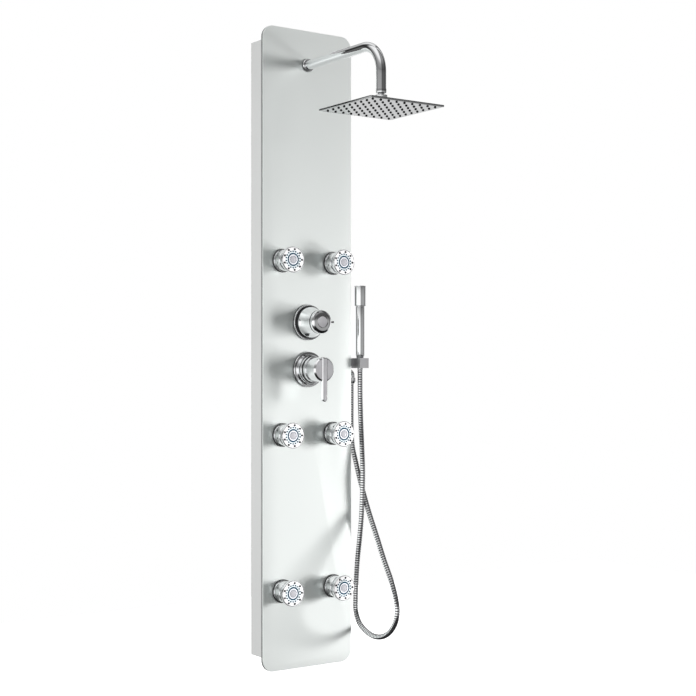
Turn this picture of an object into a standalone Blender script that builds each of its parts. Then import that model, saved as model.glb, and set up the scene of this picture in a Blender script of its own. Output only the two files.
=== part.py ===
"""Wall-mounted rainfall shower column: a flat front panel on a shallow housing,
an overhead arm with a square rain head on a ball joint, six swivelling body
jets, a diverter knob, a mixer lever and a stick hand shower on a metal hose.

Frame: metres, +Z up, +Y into the wall, origin on the wall plane at the middle
of the panel. Sizes below are in millimetres and are scaled once, by MM.
"a" is the distance out from the panel's front face, towards the bather.
"""

import math

import bmesh
import bpy
from mathutils import Vector

MM = 0.001
GAP = 0.3  # clearance between neighbouring pieces

# Panel and housing
PANEL_W, PANEL_H, PANEL_T, PANEL_R = 250.0, 1500.0, 7.0, 29.0
SKIN = 1.5  # sheet thickness of the panel's face and rim
DEPTH = 57.0  # wall plane to panel face
HOUSING_HALF_W, HOUSING_HALF_H, WALL = 122.0, 716.0, 2.0

# Overhead arm and rain head
ARM_Z, ARM_R, ARM_BORE, ARM_BEND = 669.0, 11.0, 8.8, 65.0
ARM_REACH = 290.0
HEAD_SIDE, HEAD_Z, HEAD_EDGE = 198.0, 524.0, 4.0
BALL_Z = 545.0

# Valves
DIVERTER_Z, MIXER_Z = 62.4, -48.5

# Body jets
JET_X = 71.5
JET_ROWS = (("upper", 205.0), ("middle", -201.0), ("lower", -565.0))
JET_PIVOT = 20.0
JET_SEGS = 16

# Hand shower, its holder and its hose
WAND_X, WAND_A = 151.0, 0.0
HOLDER_TOP, HOLDER_BOTTOM = -21.0, -45.0
OUTLET_X, OUTLET_A, OUTLET_Z = 143.0, -25.5, -55.0
HOSE_D = 12.5
HOSE_STEP = 27.0

OUT = Vector((0, -1, 0))
UP = Vector((0, 0, 1))

for o in list(bpy.data.objects):
    bpy.data.objects.remove(o, do_unlink=True)


# ---------------------------------------------------------------- materials
def material(name, colour, rough, metal):
    m = bpy.data.materials.new(name)
    m.use_nodes = True
    bsdf = m.node_tree.nodes["Principled BSDF"]
    bsdf.inputs["Base Color"].default_value = (*colour, 1.0)
    bsdf.inputs["Roughness"].default_value = rough
    bsdf.inputs["Metallic"].default_value = metal
    m.diffuse_color = (*colour, 1.0)
    return m


SATIN = material("satin_steel", (0.80, 0.82, 0.81), 0.28, 1.0)
CHROME = material("polished_chrome", (0.86, 0.87, 0.88), 0.06, 1.0)
PROFILE = material("housing_aluminium", (0.78, 0.79, 0.79), 0.38, 1.0)
ZINC = material("zinc_plated_steel", (0.62, 0.63, 0.64), 0.42, 1.0)
BRASS = material("cast_brass", (0.72, 0.55, 0.28), 0.38, 1.0)
RUBBER = material("silicone_nozzles", (0.10, 0.11, 0.12), 0.6, 0.0)
NYLON = material("white_nylon", (0.85, 0.85, 0.82), 0.45, 0.0)
PIPE = material("grey_pipe", (0.55, 0.57, 0.60), 0.5, 0.0)
BRAID = material("braided_hose", (0.60, 0.61, 0.62), 0.35, 1.0)


# ------------------------------------------------------------------ helpers
def at(x, a, z):
    return Vector((x * MM, -(DEPTH + a) * MM, z * MM))


def finish(name, bm, origin, mat, smooth=35.0):
    bmesh.ops.remove_doubles(bm, verts=bm.verts, dist=1e-6)
    bmesh.ops.recalc_face_normals(bm, faces=bm.faces)
    mesh = bpy.data.meshes.new(name)
    bm.to_mesh(mesh)
    bm.free()
    if smooth:
        mesh.shade_smooth()
        mesh.set_sharp_from_angle(angle=math.radians(smooth))
    if mat:
        mesh.materials.append(mat)
    o = bpy.data.objects.new(name, mesh)
    o.location = origin
    bpy.context.scene.collection.objects.link(o)
    return o


def turned(name, profile, centre, axis, segs, mat, ring=False):
    """A turned piece: profile is (radius, height along axis) in mm, from
    centre. ring=True closes the profile on itself, for a piece with a bore."""
    bm = bmesh.new()
    turn = UP.rotation_difference(axis).to_matrix().to_4x4()
    vs = [bm.verts.new(Vector((r * MM, 0, h * MM))) for r, h in profile]
    es = [bm.edges.new((vs[i], vs[i + 1])) for i in range(len(vs) - 1)]
    if ring:
        es.append(bm.edges.new((vs[-1], vs[0])))
    bmesh.ops.spin(
        bm,
        geom=vs + es,
        cent=(0, 0, 0),
        axis=(0, 0, 1),
        dvec=(0, 0, 0),
        angle=math.tau,
        steps=segs,
        use_merge=True,
        use_duplicate=False,
    )
    bmesh.ops.remove_doubles(bm, verts=bm.verts, dist=1e-6)
    bmesh.ops.transform(bm, matrix=turn, verts=bm.verts)
    return finish(name, bm, centre, mat)


def block(name, x, a, z, mat, origin=None):
    """A box between two values on each axis, all in mm."""
    lo, hi = at(x[0], a[1], z[0]), at(x[1], a[0], z[1])
    origin = origin or (lo + hi) / 2
    bm = bmesh.new()
    bmesh.ops.create_cube(bm, size=1.0)
    size = hi - lo
    bmesh.ops.scale(bm, vec=size, verts=bm.verts)
    bmesh.ops.translate(bm, vec=(lo + hi) / 2 - origin, verts=bm.verts)
    return finish(name, bm, origin, mat, smooth=None)


def prism(name, outline, place, sweep, mat, origin):
    """An outline extruded: place(p) gives a point of the outline in space and
    sweep is the vector it is drawn along."""
    bm = bmesh.new()
    vs = [bm.verts.new(place(p) - origin) for p in outline]
    face = bm.faces.new(vs)
    out = bmesh.ops.extrude_face_region(bm, geom=[face])
    moved = [e for e in out["geom"] if isinstance(e, bmesh.types.BMVert)]
    bmesh.ops.translate(bm, vec=sweep, verts=moved)
    return finish(name, bm, origin, mat)


def rod(name, start, end, radius, segs=16, mat=None):
    """A plain round bar between two points, for cutting and joining."""
    d = end - start
    return turned(
        name,
        [(0, 0), (radius, 0), (radius, d.length / MM), (0, d.length / MM)],
        start,
        d.normalized(),
        segs,
        mat,
    )


def boolean(target, tools, operation):
    for t in tools:
        t.hide_render = True
        t.display_type = "WIRE"
        m = target.modifiers.new(operation.lower(), "BOOLEAN")
        m.operation = operation
        m.solver = "EXACT"
        m.object = t
    return target


def cut(target, *tools):
    return boolean(target, tools, "DIFFERENCE")


def fuse(target, *tools):
    return boolean(target, tools, "UNION")


def frames(points):
    """A pair of cross axes at each point of a path, carried along it without
    twist."""
    out, prev = [], None
    for i in range(len(points)):
        a, b = points[max(i - 1, 0)], points[min(i + 1, len(points) - 1)]
        t = (b - a).normalized()
        if prev is None:
            side = t.orthogonal().normalized()
        else:
            side = (prev - t * prev.dot(t)).normalized()
        prev = side
        out.append((side, t.cross(side)))
    return out


def tube(name, path, outer, segs, mat, bore=None):
    """A tube along a path. outer is one radius, or one for each point; bore
    leaves it open from end to end."""
    radii = outer if isinstance(outer, (list, tuple)) else [outer] * len(path)
    origin = path[0]
    axes = frames(path)
    bm = bmesh.new()

    def loop(i, radius):
        s, t = axes[i]
        vs = [
            bm.verts.new(
                path[i]
                - origin
                + (s * math.cos(k * math.tau / segs) + t * math.sin(k * math.tau / segs))
                * radius
                * MM
            )
            for k in range(segs)
        ]
        return [bm.edges.new((vs[k], vs[(k + 1) % segs])) for k in range(segs)], vs

    rows = [loop(i, radii[i]) for i in range(len(path))]
    if bore:
        rows += [loop(i, bore) for i in reversed(range(len(path)))]
        rows.append(rows[0])
    for (ea, _), (eb, _) in zip(rows, rows[1:]):
        bmesh.ops.bridge_loops(bm, edges=ea + eb)
    if not bore:
        bm.faces.new(rows[0][1])
        bm.faces.new(rows[-1][1])
    return finish(name, bm, origin, mat)


def elbow_path(start, corner, end, bend, steps):
    """Straight, a quarter bend of the given radius, straight."""
    d1, d2 = (corner - start).normalized(), (end - corner).normalized()
    centre = corner - d1 * bend * MM + d2 * bend * MM
    pts = [start]
    for i in range(steps + 1):
        t = i / steps * math.pi / 2
        pts.append(
            centre + d1 * math.sin(t) * bend * MM - d2 * math.cos(t) * bend * MM
        )
    pts.append(end)
    return pts


def smooth_route(knots, step):
    """Points about step mm apart on one smooth curve through the knots (mm),
    by a centripetal Catmull-Rom spline."""
    ks = [Vector(k) for k in knots]
    ks = [ks[0] * 2 - ks[1]] + ks + [ks[-1] * 2 - ks[-2]]
    fine = []
    for i in range(1, len(ks) - 2):
        p0, p1, p2, p3 = ks[i - 1 : i + 3]
        t0 = 0.0
        t1 = t0 + (p1 - p0).length ** 0.5
        t2 = t1 + (p2 - p1).length ** 0.5
        t3 = t2 + (p3 - p2).length ** 0.5
        n = 24
        for j in range(n):
            t = t1 + (t2 - t1) * j / n
            a1 = p0 * ((t1 - t) / (t1 - t0)) + p1 * ((t - t0) / (t1 - t0))
            a2 = p1 * ((t2 - t) / (t2 - t1)) + p2 * ((t - t1) / (t2 - t1))
            a3 = p2 * ((t3 - t) / (t3 - t2)) + p3 * ((t - t2) / (t3 - t2))
            b1 = a1 * ((t2 - t) / (t2 - t0)) + a2 * ((t - t0) / (t2 - t0))
            b2 = a2 * ((t3 - t) / (t3 - t1)) + a3 * ((t - t1) / (t3 - t1))
            fine.append(b1 * ((t2 - t) / (t2 - t1)) + b2 * ((t - t1) / (t2 - t1)))
    fine.append(ks[-2])
    along = [0.0]
    for p, q in zip(fine, fine[1:]):
        along.append(along[-1] + (q - p).length)
    count = max(2, round(along[-1] / step))
    out, j = [], 0
    for i in range(count + 1):
        s = along[-1] * i / count
        while j < len(along) - 2 and along[j + 1] < s:
            j += 1
        k = (s - along[j]) / max(along[j + 1] - along[j], 1e-9)
        out.append(fine[j].lerp(fine[j + 1], min(max(k, 0), 1)))
    return out, along[-1]


def cable(name, points, diameter, mat, resolution=2):
    """A flexible tube: a bevelled curve with filled caps."""
    c = bpy.data.curves.new(name, "CURVE")
    c.dimensions = "3D"
    s = c.splines.new("POLY")
    s.points.add(len(points) - 1)
    for q, p in zip(s.points, points):
        w = at(*p)
        q.co = (*w, 1.0)
    c.bevel_depth = diameter / 2 * MM
    c.bevel_resolution = resolution
    c.use_fill_caps = True
    c.materials.append(mat)
    o = bpy.data.objects.new(name, c)
    bpy.context.scene.collection.objects.link(o)
    return o


def rounded_rect(w, h, r, steps):
    """Corner-rounded rectangle, anticlockwise, in mm."""
    pts = []
    for cx, cy, start in (
        (w / 2 - r, h / 2 - r, 0),
        (-w / 2 + r, h / 2 - r, 90),
        (-w / 2 + r, -h / 2 + r, 180),
        (w / 2 - r, -h / 2 + r, 270),
    ):
        for i in range(steps + 1):
            t = math.radians(start + 90 * i / steps)
            pts.append((cx + r * math.cos(t), cy + r * math.sin(t)))
    return pts


# ---------------------------------------------------- front panel, housing
def front(p):
    return at(p[0], 0, p[1])


panel = prism(
    "front_panel",
    rounded_rect(PANEL_W, PANEL_H, PANEL_R, 6),
    front,
    Vector((0, PANEL_T * MM, 0)),
    SATIN,
    at(0, 0, 0),
)
pocket = prism(
    "panel_pocket",
    rounded_rect(PANEL_W - 2 * SKIN, PANEL_H - 2 * SKIN, PANEL_R - SKIN, 6),
    lambda p: at(p[0], -SKIN, p[1]),
    Vector((0, 2 * PANEL_T * MM, 0)),
    None,
    at(0, 0, 0),
)
holes = [rod("hole_arm", at(0, 5, ARM_Z), at(0, -12, ARM_Z), ARM_R + 0.6, 20)]
holes.append(rod("hole_diverter", at(0, 5, DIVERTER_Z), at(0, -12, DIVERTER_Z), 24.6, 24))
holes.append(rod("hole_mixer", at(0, 5, MIXER_Z), at(0, -12, MIXER_Z), 24.6, 24))
for row, z in JET_ROWS:
    for side, sx in (("left", -1), ("right", 1)):
        holes.append(
            rod(
                f"hole_jet_{row}_{side}",
                at(sx * JET_X, 5, z),
                at(sx * JET_X, -12, z),
                10.8,
                16,
            )
        )
cut(panel, pocket, *holes)

# Side profiles: an L with its short leg bonded behind the panel's face.
FLANGE_A = -(SKIN + GAP)
for side, sx in (("left", -1), ("right", 1)):
    h = HOUSING_HALF_W
    outline = [
        (h, -DEPTH),
        (h, FLANGE_A),
        (h - 17, FLANGE_A),
        (h - 17, FLANGE_A - WALL),
        (h - WALL, FLANGE_A - WALL),
        (h - WALL, -DEPTH),
    ]
    prof = prism(
        f"side_profile_{side}",
        outline,
        lambda p, sx=sx: at(sx * p[0], p[1], -HOUSING_HALF_H),
        Vector((0, 0, 2 * HOUSING_HALF_H * MM)),
        PROFILE,
        at(sx * h, -DEPTH, 0),
    )
    if side == "right":
        cut(
            prof,
            rod(
                "hole_outlet",
                at(h - 8, OUTLET_A, OUTLET_Z),
                at(h + 6, OUTLET_A, OUTLET_Z),
                9.2,
                20,
            ),
        )

INNER = HOUSING_HALF_W - WALL - GAP
for name, sz in (("top_end_cap", 1), ("bottom_end_cap", -1)):
    z0, z1 = sorted((sz * HOUSING_HALF_H, sz * (HOUSING_HALF_H - WALL)))
    f0, f1 = sorted((sz * (HOUSING_HALF_H - 0.4), sz * (HOUSING_HALF_H - 16)))
    cap = block(name, (-INNER, INNER), (-DEPTH, FLANGE_A - WALL - GAP), (z0, z1), PROFILE)
    lip = block(
        name + "_lip", (-104.4, 104.4), (FLANGE_A - WALL, FLANGE_A), (f0, f1), None
    )
    # The lip overlaps the cap through a short web so that both are one sheet.
    g0, g1 = sorted((sz * (HOUSING_HALF_H - 0.4), sz * (HOUSING_HALF_H - 1.6)))
    web = block(
        name + "_web", (-104.0, 104.0), (FLANGE_A - WALL - 3, FLANGE_A - 1), (g0, g1), None
    )
    fuse(cap, web, lip)

# Wall brackets: a flat bar across the back with both ends turned forward.
BAR = INNER
for name, z, half, keyholes in (
    ("upper_wall_bracket", 620.0, 20.0, True),
    ("centre_wall_bracket", 0.0, 20.0, False),
    ("lower_wall_bracket", -640.0, 20.0, True),
):
    outline = [
        (-BAR, -DEPTH),
        (BAR, -DEPTH),
        (BAR, -30),
        (BAR - 2, -30),
        (BAR - 2, -DEPTH + 2),
        (-BAR + 2, -DEPTH + 2),
        (-BAR + 2, -30),
        (-BAR, -30),
    ]
    bracket = prism(
        name,
        outline,
        lambda p, z=z, half=half: at(p[0], p[1], z - half),
        Vector((0, 0, 2 * half * MM)),
        ZINC,
        at(0, -DEPTH, z),
    )
    if keyholes:
        for side, sx in (("left", -1), ("right", 1)):
            cut(
                bracket,
                rod(
                    f"{name}_keyhole_{side}",
                    at(sx * 85, -DEPTH - 3, z - 4),
                    at(sx * 85, -DEPTH + 6, z - 4),
                    5.0,
                    16,
                ),
                block(
                    f"{name}_slot_{side}",
                    (sx * 85 - 2.6, sx * 85 + 2.6),
                    (-DEPTH - 3, -DEPTH + 6),
                    (z - 4, z + 10),
                    None,
                ),
            )

# ------------------------------------------------------------ overhead arm
ARM_END_Z = 566.0
arm_path = elbow_path(
    at(0, -14, ARM_Z),
    at(0, ARM_REACH, ARM_Z),
    at(0, ARM_REACH, ARM_END_Z),
    ARM_BEND,
    7,
)
tube("shower_arm", arm_path, ARM_R, 14, CHROME, bore=ARM_BORE)
turned(
    "arm_flange",
    [(11.4, 0.3), (15.5, 0.3), (15.5, 3.6), (14.0, 5.2), (11.4, 5.2)],
    at(0, 0, ARM_Z),
    OUT,
    24,
    CHROME,
    ring=True,
)
PIPE_A = -28.0
elbow = rod("arm_inlet_elbow", at(0, -44, ARM_Z), at(0, -14.3, ARM_Z), 13.0, 18, BRASS)
fuse(elbow, rod("elbow_port", at(0, PIPE_A, ARM_Z), at(0, PIPE_A, 650.3), 9.6, 18))
cut(
    elbow,
    rod("elbow_bore", at(0, -38, ARM_Z), at(0, -10, ARM_Z), 8.0, 16),
    rod("elbow_drop", at(0, PIPE_A, ARM_Z), at(0, PIPE_A, 640), 5.4, 16),
)
turned(
    "rain_riser_pipe",
    [(5.2, 0), (7.0, 0), (7.0, 565.2), (5.2, 565.2)],
    at(0, PIPE_A, 84.7),
    UP,
    16,
    PIPE,
    ring=True,
)

# ------------------------------------------- rain head and its ball joint
ball_centre = at(0, ARM_REACH, BALL_Z)
turned(
    "arm_ball_joint",
    [
        (3.5, 20.7),
        (12.6, 20.7),
        (12.6, 12.5),
        (9.0, 11.0),
        (5.0, 9.5),
        (5.0, 8.08),
        (7.6, 5.7),
        (9.0, 3.0),
        (9.5, 0.0),
        (8.6, -4.0),
        (6.0, -7.3),
        (3.5, -8.8),
    ],
    ball_centre,
    UP,
    20,
    CHROME,
    ring=True,
)
turned(
    "ball_seat_ring",
    [(8.9, 5.0), (10.2, 5.4), (11.3, 1.8), (11.3, -1.8), (10.2, -5.4), (8.9, -5.0), (10.1, -1.8), (10.1, 1.8)],
    ball_centre,
    UP,
    20,
    NYLON,
    ring=True,
)
turned(
    "ball_joint_nut",
    [
        (9.1, 7.2),
        (12.9, 7.2),
        (13.6, 6.4),
        (13.6, -8.4),
        (12.9, -10.0),
        (6.9, -10.0),
        (10.6, -6.2),
        (12.2, -2.2),
        (12.2, 2.2),
        (10.6, 6.2),
    ],
    ball_centre,
    UP,
    20,
    CHROME,
    ring=True,
)

# The head is a shallow square pan with its mouth down; the nozzle mat and the
# face plate close it.
HEAD_LOW, HEAD_TOP = HEAD_Z - HEAD_EDGE / 2, HEAD_Z + HEAD_EDGE / 2


def head_at(p, z):
    return at(p[0], ARM_REACH + p[1], z)


def square_shell(name, sections, mat, origin):
    """Closed skin through square sections: (side, corner radius, height)."""
    bm = bmesh.new()
    rows = []
    for side, r, z in sections:
        vs = [bm.verts.new(head_at(p, z) - origin) for p in rounded_rect(side, side, r, 2)]
        rows.append(([bm.edges.new((vs[k], vs[(k + 1) % len(vs)])) for k in range(len(vs))], vs))
    for (ea, _), (eb, _) in zip(rows, rows[1:]):
        bmesh.ops.bridge_loops(bm, edges=ea + eb)
    bm.faces.new(rows[0][1])
    bm.faces.new(rows[-1][1])
    return finish(name, bm, origin, mat)


shell = square_shell(
    "rain_head_shell",
    [
        (190.0, 2.0, HEAD_TOP - 0.4),
        (190.0, 2.0, HEAD_LOW),
        (197.0, 3.0, HEAD_LOW),
        (198.0, 3.4, HEAD_LOW + 0.6),
        (198.0, 3.4, HEAD_TOP - 0.6),
        (197.0, 3.0, HEAD_TOP),
        (60.0, 3.0, HEAD_TOP + 4.5),
    ],
    SATIN,
    ball_centre,
)
fuse(shell, rod("head_boss", head_at((0, 0), HEAD_TOP + 2.5), head_at((0, 0), BALL_Z - 10.3), 14.0, 20))
cut(shell, rod("head_inlet", head_at((0, 0), HEAD_TOP - 2), head_at((0, 0), BALL_Z), 5.0, 16))
square_shell(
    "rain_head_nozzle_mat",
    [(188.0, 2.0, HEAD_LOW + 1.5), (188.0, 2.0, HEAD_TOP - 0.8)],
    RUBBER,
    ball_centre,
)
square_shell(
    "rain_head_face_plate",
    [(189.4, 2.0, HEAD_LOW), (189.4, 2.0, HEAD_LOW + 1.2)],
    SATIN,
    ball_centre,
)

# ------------------------------------------------------------------ valves
for name, z, hx, hz, back in (
    ("diverter_valve_body", DIVERTER_Z, 26.0, 22.0, -48.0),
    ("mixer_valve_body", MIXER_Z, 28.0, 24.0, -50.0),
):
    body = block(name, (-hx, hx), (back, -8), (z - hz, z + hz), BRASS)
    fuse(body, rod(name + "_neck", at(0, -12, z), at(0, 6, z), 23.0, 24))
    cut(body, rod(name + "_bore", at(0, back + 10, z), at(0, 12, z), 17.9, 24))
    cut(
        body,
        rod(name + "_port_up", at(0, PIPE_A, z + 10), at(0, PIPE_A, z + hz + 5), 5.0, 12),
        rod(name + "_port_down", at(0, PIPE_A, z - 10), at(0, PIPE_A, z - hz - 5), 5.0, 12),
    )

cartridge = [
    (0, -37.6),
    (17.4, -37.6),
    (17.4, 9.0),
    (12.0, 9.0),
    (12.0, 18.0),
    (4.4, 18.0),
]
turned("diverter_cartridge", cartridge + [(4.4, 40.0), (0, 40.0)], at(0, 0, DIVERTER_Z), OUT, 24, BRASS)
turned("mixer_cartridge", cartridge + [(4.4, 57.0), (0, 57.0)], at(0, 0, MIXER_Z), OUT, 24, BRASS)

turned(
    "diverter_escutcheon",
    [
        (23.4, 0.3),
        (42.0, 0.3),
        (42.0, 4.2),
        (41.0, 5.4),
        (38.0, 6.0),
        (37.2, 9.6),
        (33.0, 10.4),
        (23.4, 10.4),
    ],
    at(0, 0, DIVERTER_Z),
    OUT,
    32,
    CHROME,
    ring=True,
)
# Bell-shaped diverter knob with a hollow back, a stem socket and a pin grip.
knob = turned(
    "diverter_knob",
    [
        (0, 34.0),
        (4.8, 34.0),
        (4.8, 24.0),
        (21.0, 24.0),
        (31.0, 14.0),
        (31.0, 11.6),
        (35.5, 11.6),
        (36.0, 14.0),
        (33.4, 20.0),
        (29.4, 32.0),
        (27.6, 46.0),
        (26.4, 48.4),
        (27.6, 50.4),
        (27.6, 60.6),
        (25.6, 62.8),
        (13.0, 63.0),
        (11.0, 61.8),
        (0, 61.4),
    ],
    at(0, 0, DIVERTER_Z),
    OUT,
    22,
    CHROME,
)
# The stem socket is deep enough for the cartridge's stem.
cut(knob, rod("knob_socket", at(0, 20, DIVERTER_Z), at(0, 41.5, DIVERTER_Z), 4.9, 14))
fuse(knob, rod("knob_pin", at(24, 56.5, DIVERTER_Z), at(36, 56.5, DIVERTER_Z), 2.2, 10))

turned(
    "mixer_escutcheon",
    [
        (23.4, 0.3),
        (42.0, 0.3),
        (42.0, 3.8),
        (40.8, 5.0),
        (35.0, 5.2),
        (34.6, 12.4),
        (32.0, 12.8),
        (32.0, 14.6),
        (32.8, 15.0),
        (32.4, 22.2),
        (30.0, 22.6),
        (30.0, 24.4),
        (30.8, 24.8),
        (30.4, 33.0),
        (20.0, 33.0),
        (20.0, 18.0),
        (23.4, 14.0),
    ],
    at(0, 0, MIXER_Z),
    OUT,
    24,
    CHROME,
    ring=True,
)
collar = turned(
    "mixer_handle_collar",
    [
        (0, 58.6),
        (4.8, 58.6),
        (4.8, 52.0),
        (24.0, 52.0),
        (24.0, 33.6),
        (27.8, 33.6),
        (28.5, 34.4),
        (28.5, 70.4),
        (27.8, 71.0),
        (0, 71.0),
    ],
    at(0, 0, MIXER_Z),
    OUT,
    32,
    CHROME,
)
LEVER_HALF, LEVER_IN, LEVER_FRONT, LEVER_REACH = 7.0, 63.0, 72.0, 75.0
cut(
    collar,
    block(
        "lever_slot",
        (-LEVER_HALF - GAP, LEVER_HALF + GAP),
        (LEVER_IN - GAP, 80),
        (MIXER_Z - 40, MIXER_Z + 40),
        None,
    ),
)
# The lever is a flat bar laid across the collar's face, round at its lower tip.
tip = [
    (
        LEVER_HALF * math.cos(math.pi + math.pi * i / 8),
        -LEVER_REACH + LEVER_HALF + LEVER_HALF * math.sin(math.pi + math.pi * i / 8),
    )
    for i in range(9)
]
prism(
    "mixer_lever",
    [(LEVER_HALF, 27.4), (-LEVER_HALF, 27.4)] + tip,
    lambda p: at(p[0], LEVER_FRONT, MIXER_Z + p[1]),
    Vector((0, (LEVER_FRONT - LEVER_IN) * MM, 0)),
    CHROME,
    at(0, LEVER_FRONT, MIXER_Z),
)

# --------------------------------------------------- pipes in the housing
turned(
    "mixer_to_diverter_pipe",
    [(5.2, 0), (7.0, 0), (7.0, 64.3), (5.2, 64.3)],
    at(0, PIPE_A, MIXER_Z + 24.3),
    UP,
    16,
    PIPE,
    ring=True,
)
MANIFOLD_A = -34.0
for side, sx in (("left", -1), ("right", 1)):
    pipe = rod(
        f"jet_manifold_{side}",
        at(sx * JET_X, MANIFOLD_A, JET_ROWS[-1][1] - 12),
        at(sx * JET_X, MANIFOLD_A, JET_ROWS[0][1] + 12),
        6.5,
        12,
        PIPE,
    )
    fuse(
        pipe,
        *[
            rod(
                f"tee_{row}_{side}",
                at(sx * (JET_X + 0.4), MANIFOLD_A - 8.3, z + 0.7),
                at(sx * (JET_X + 0.4), -20.3, z + 0.7),
                9.3,
                14,
            )
            for row, z in JET_ROWS
        ],
        rod(
            f"feed_{side}",
            at(sx * 26.3, MANIFOLD_A + 0.3, DIVERTER_Z),
            at(sx * (JET_X + 2.2), MANIFOLD_A + 0.3, DIVERTER_Z),
            5.3,
            10,
        ),
    )

for name, sx in (("hot_inlet_hose", -1), ("cold_inlet_hose", 1)):
    turned(
        name,
        [
            (4.6, 0.0),
            (6.5, 0.0),
            (6.5, -326.0),
            (12.0, -329.0),
            (13.0, -331.0),
            (13.0, -346.0),
            (4.6, -346.0),
        ],
        at(sx * 18, PIPE_A, MIXER_Z - 24.3),
        UP,
        12,
        BRAID,
        ring=True,
    )

feed, _ = smooth_route(
    [
        (17, -28, 40.0),
        (17, -29, 28.0),
        (20, -38, 8.0),
        (32, -47, -12.0),
        (50, -48.5, -32.0),
        (71, -48.5, -48.0),
        (86, -44, -54.6),
        (97, -29, -55.0),
        (104, -25.5, -55.0),
        (111.6, -25.5, -55.0),
    ],
    8.0,
)
cable("hand_shower_feed_pipe", feed, 10.0, PIPE)

# ------------------------------------------------------------- body jets
for row, z in JET_ROWS:
    for side, sx in (("left", -1), ("right", 1)):
        pivot = at(sx * JET_X, JET_PIVOT, z)
        p = JET_PIVOT
        turned(
            f"jet_base_{row}_{side}",
            [
                (27.5, 0.3 - p),
                (27.5, 4.8 - p),
                (25.0, 5.2 - p),
                (25.0, 26.2 - p),
                (24.2, 27.0 - p),
                (15.0, 7.0),
                (16.5, 0.0),
                (14.4, -8.0),
                (11.3, -12.0),
                (6.0, -12.0),
                (6.0, -20.0 - p),
                (10.0, -20.0 - p),
                (10.0, 0.3 - p),
            ],
            pivot,
            OUT,
            JET_SEGS,
            CHROME,
            ring=True,
        )
        turned(
            f"jet_seat_{row}_{side}",
            [(14.8, 4.2), (15.4, 0.0), (14.8, -4.2), (13.5, -4.2), (14.2, 0.0), (13.5, 4.2)],
            pivot,
            OUT,
            12,
            NYLON,
            ring=True,
        )
        turned(
            f"jet_head_{row}_{side}",
            [
                (0, -10.4),
                (8.0, -10.4),
                (11.4, -6.6),
                (13.2, 0.0),
                (11.4, 6.6),
                (9.5, 9.0),
                (9.5, 16.0),
                (21.0, 19.0),
                (29.2, 19.0),
                (30.0, 20.0),
                (30.0, 26.2),
                (29.2, 27.0),
                (0, 27.0),
            ],
            pivot,
            OUT,
            JET_SEGS,
            CHROME,
        )

# ---------------------------------------- hand shower, holder, outlet, hose
outlet = elbow_path(
    at(112.0, OUTLET_A, OUTLET_Z),
    at(OUTLET_X, OUTLET_A, OUTLET_Z),
    at(OUTLET_X, OUTLET_A, OUTLET_Z - 13),
    9.5,
    5,
)
outlet[1:1] = [
    at(122.3, OUTLET_A, OUTLET_Z),
    at(122.31, OUTLET_A, OUTLET_Z),
    at(125.3, OUTLET_A, OUTLET_Z),
    at(125.31, OUTLET_A, OUTLET_Z),
]
tube(
    "outlet_elbow",
    outlet,
    [8.6, 8.6, 13.0, 13.0, 8.4] + [8.4] * (len(outlet) - 5),
    16,
    CHROME,
)
NUT_TOP = OUTLET_Z - 13.3
turned(
    "hose_outlet_nut",
    [(4.2, 0), (9.6, 0), (10.2, -1.0), (10.2, -9.0), (7.6, -14.0), (4.2, -14.0)],
    at(OUTLET_X, OUTLET_A, NUT_TOP),
    UP,
    16,
    CHROME,
    ring=True,
)

holder = block(
    "handset_holder",
    (WAND_X - 13, WAND_X + 13),
    (WAND_A - 18, WAND_A + 18),
    (HOLDER_BOTTOM, HOLDER_TOP),
    CHROME,
)
fuse(
    holder,
    block("holder_stub", (123.5, WAND_X - 12), (-17.0, -9.0), (-40.0, -23.0), None),
    block("holder_foot", (HOUSING_HALF_W + GAP, 125.6), (-38.0, -8.0), (-41.4, -16.0), None),
)
cut(
    holder,
    turned(
        "holder_bore",
        [(0, 2.0), (9.04, 2.0), (7.7, -2.5), (7.7, -30.0), (0, -30.0)],
        at(WAND_X, WAND_A, HOLDER_TOP),
        UP,
        18,
        None,
    ),
    block("holder_slot", (WAND_X, WAND_X + 20), (-6.6, 6.6), (-50, -10), None),
)

cone = turned(
    "hose_cone_nut",
    [(4.4, -12.3), (11.0, -12.3), (11.0, -13.4), (7.9, -21.0), (7.1, -23.8), (7.0, -49.0), (4.4, -49.0)],
    at(WAND_X, WAND_A, 0),
    UP,
    18,
    CHROME,
    ring=True,
)
turned(
    "handset_handle",
    [(4.5, -12.0), (10.4, -12.0), (11.0, -11.4), (11.0, 104.7), (8.2, 104.7), (8.2, -6.0), (4.5, -6.0)],
    at(WAND_X, WAND_A, 0),
    UP,
    20,
    CHROME,
    ring=True,
)
turned(
    "handset_head",
    [(5.0, 105.0), (13.4, 105.0), (14.0, 105.6), (14.0, 153.2), (13.2, 154.0), (12.0, 154.0), (12.0, 108.0), (5.0, 108.0)],
    at(WAND_X, WAND_A, 0),
    UP,
    20,
    CHROME,
    ring=True,
)
turned(
    "handset_spray_face",
    [(0, 148.0), (11.7, 148.0), (11.7, 152.4), (10.8, 153.0), (0, 153.2)],
    at(WAND_X, WAND_A, 0),
    UP,
    20,
    RUBBER,
)

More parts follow.
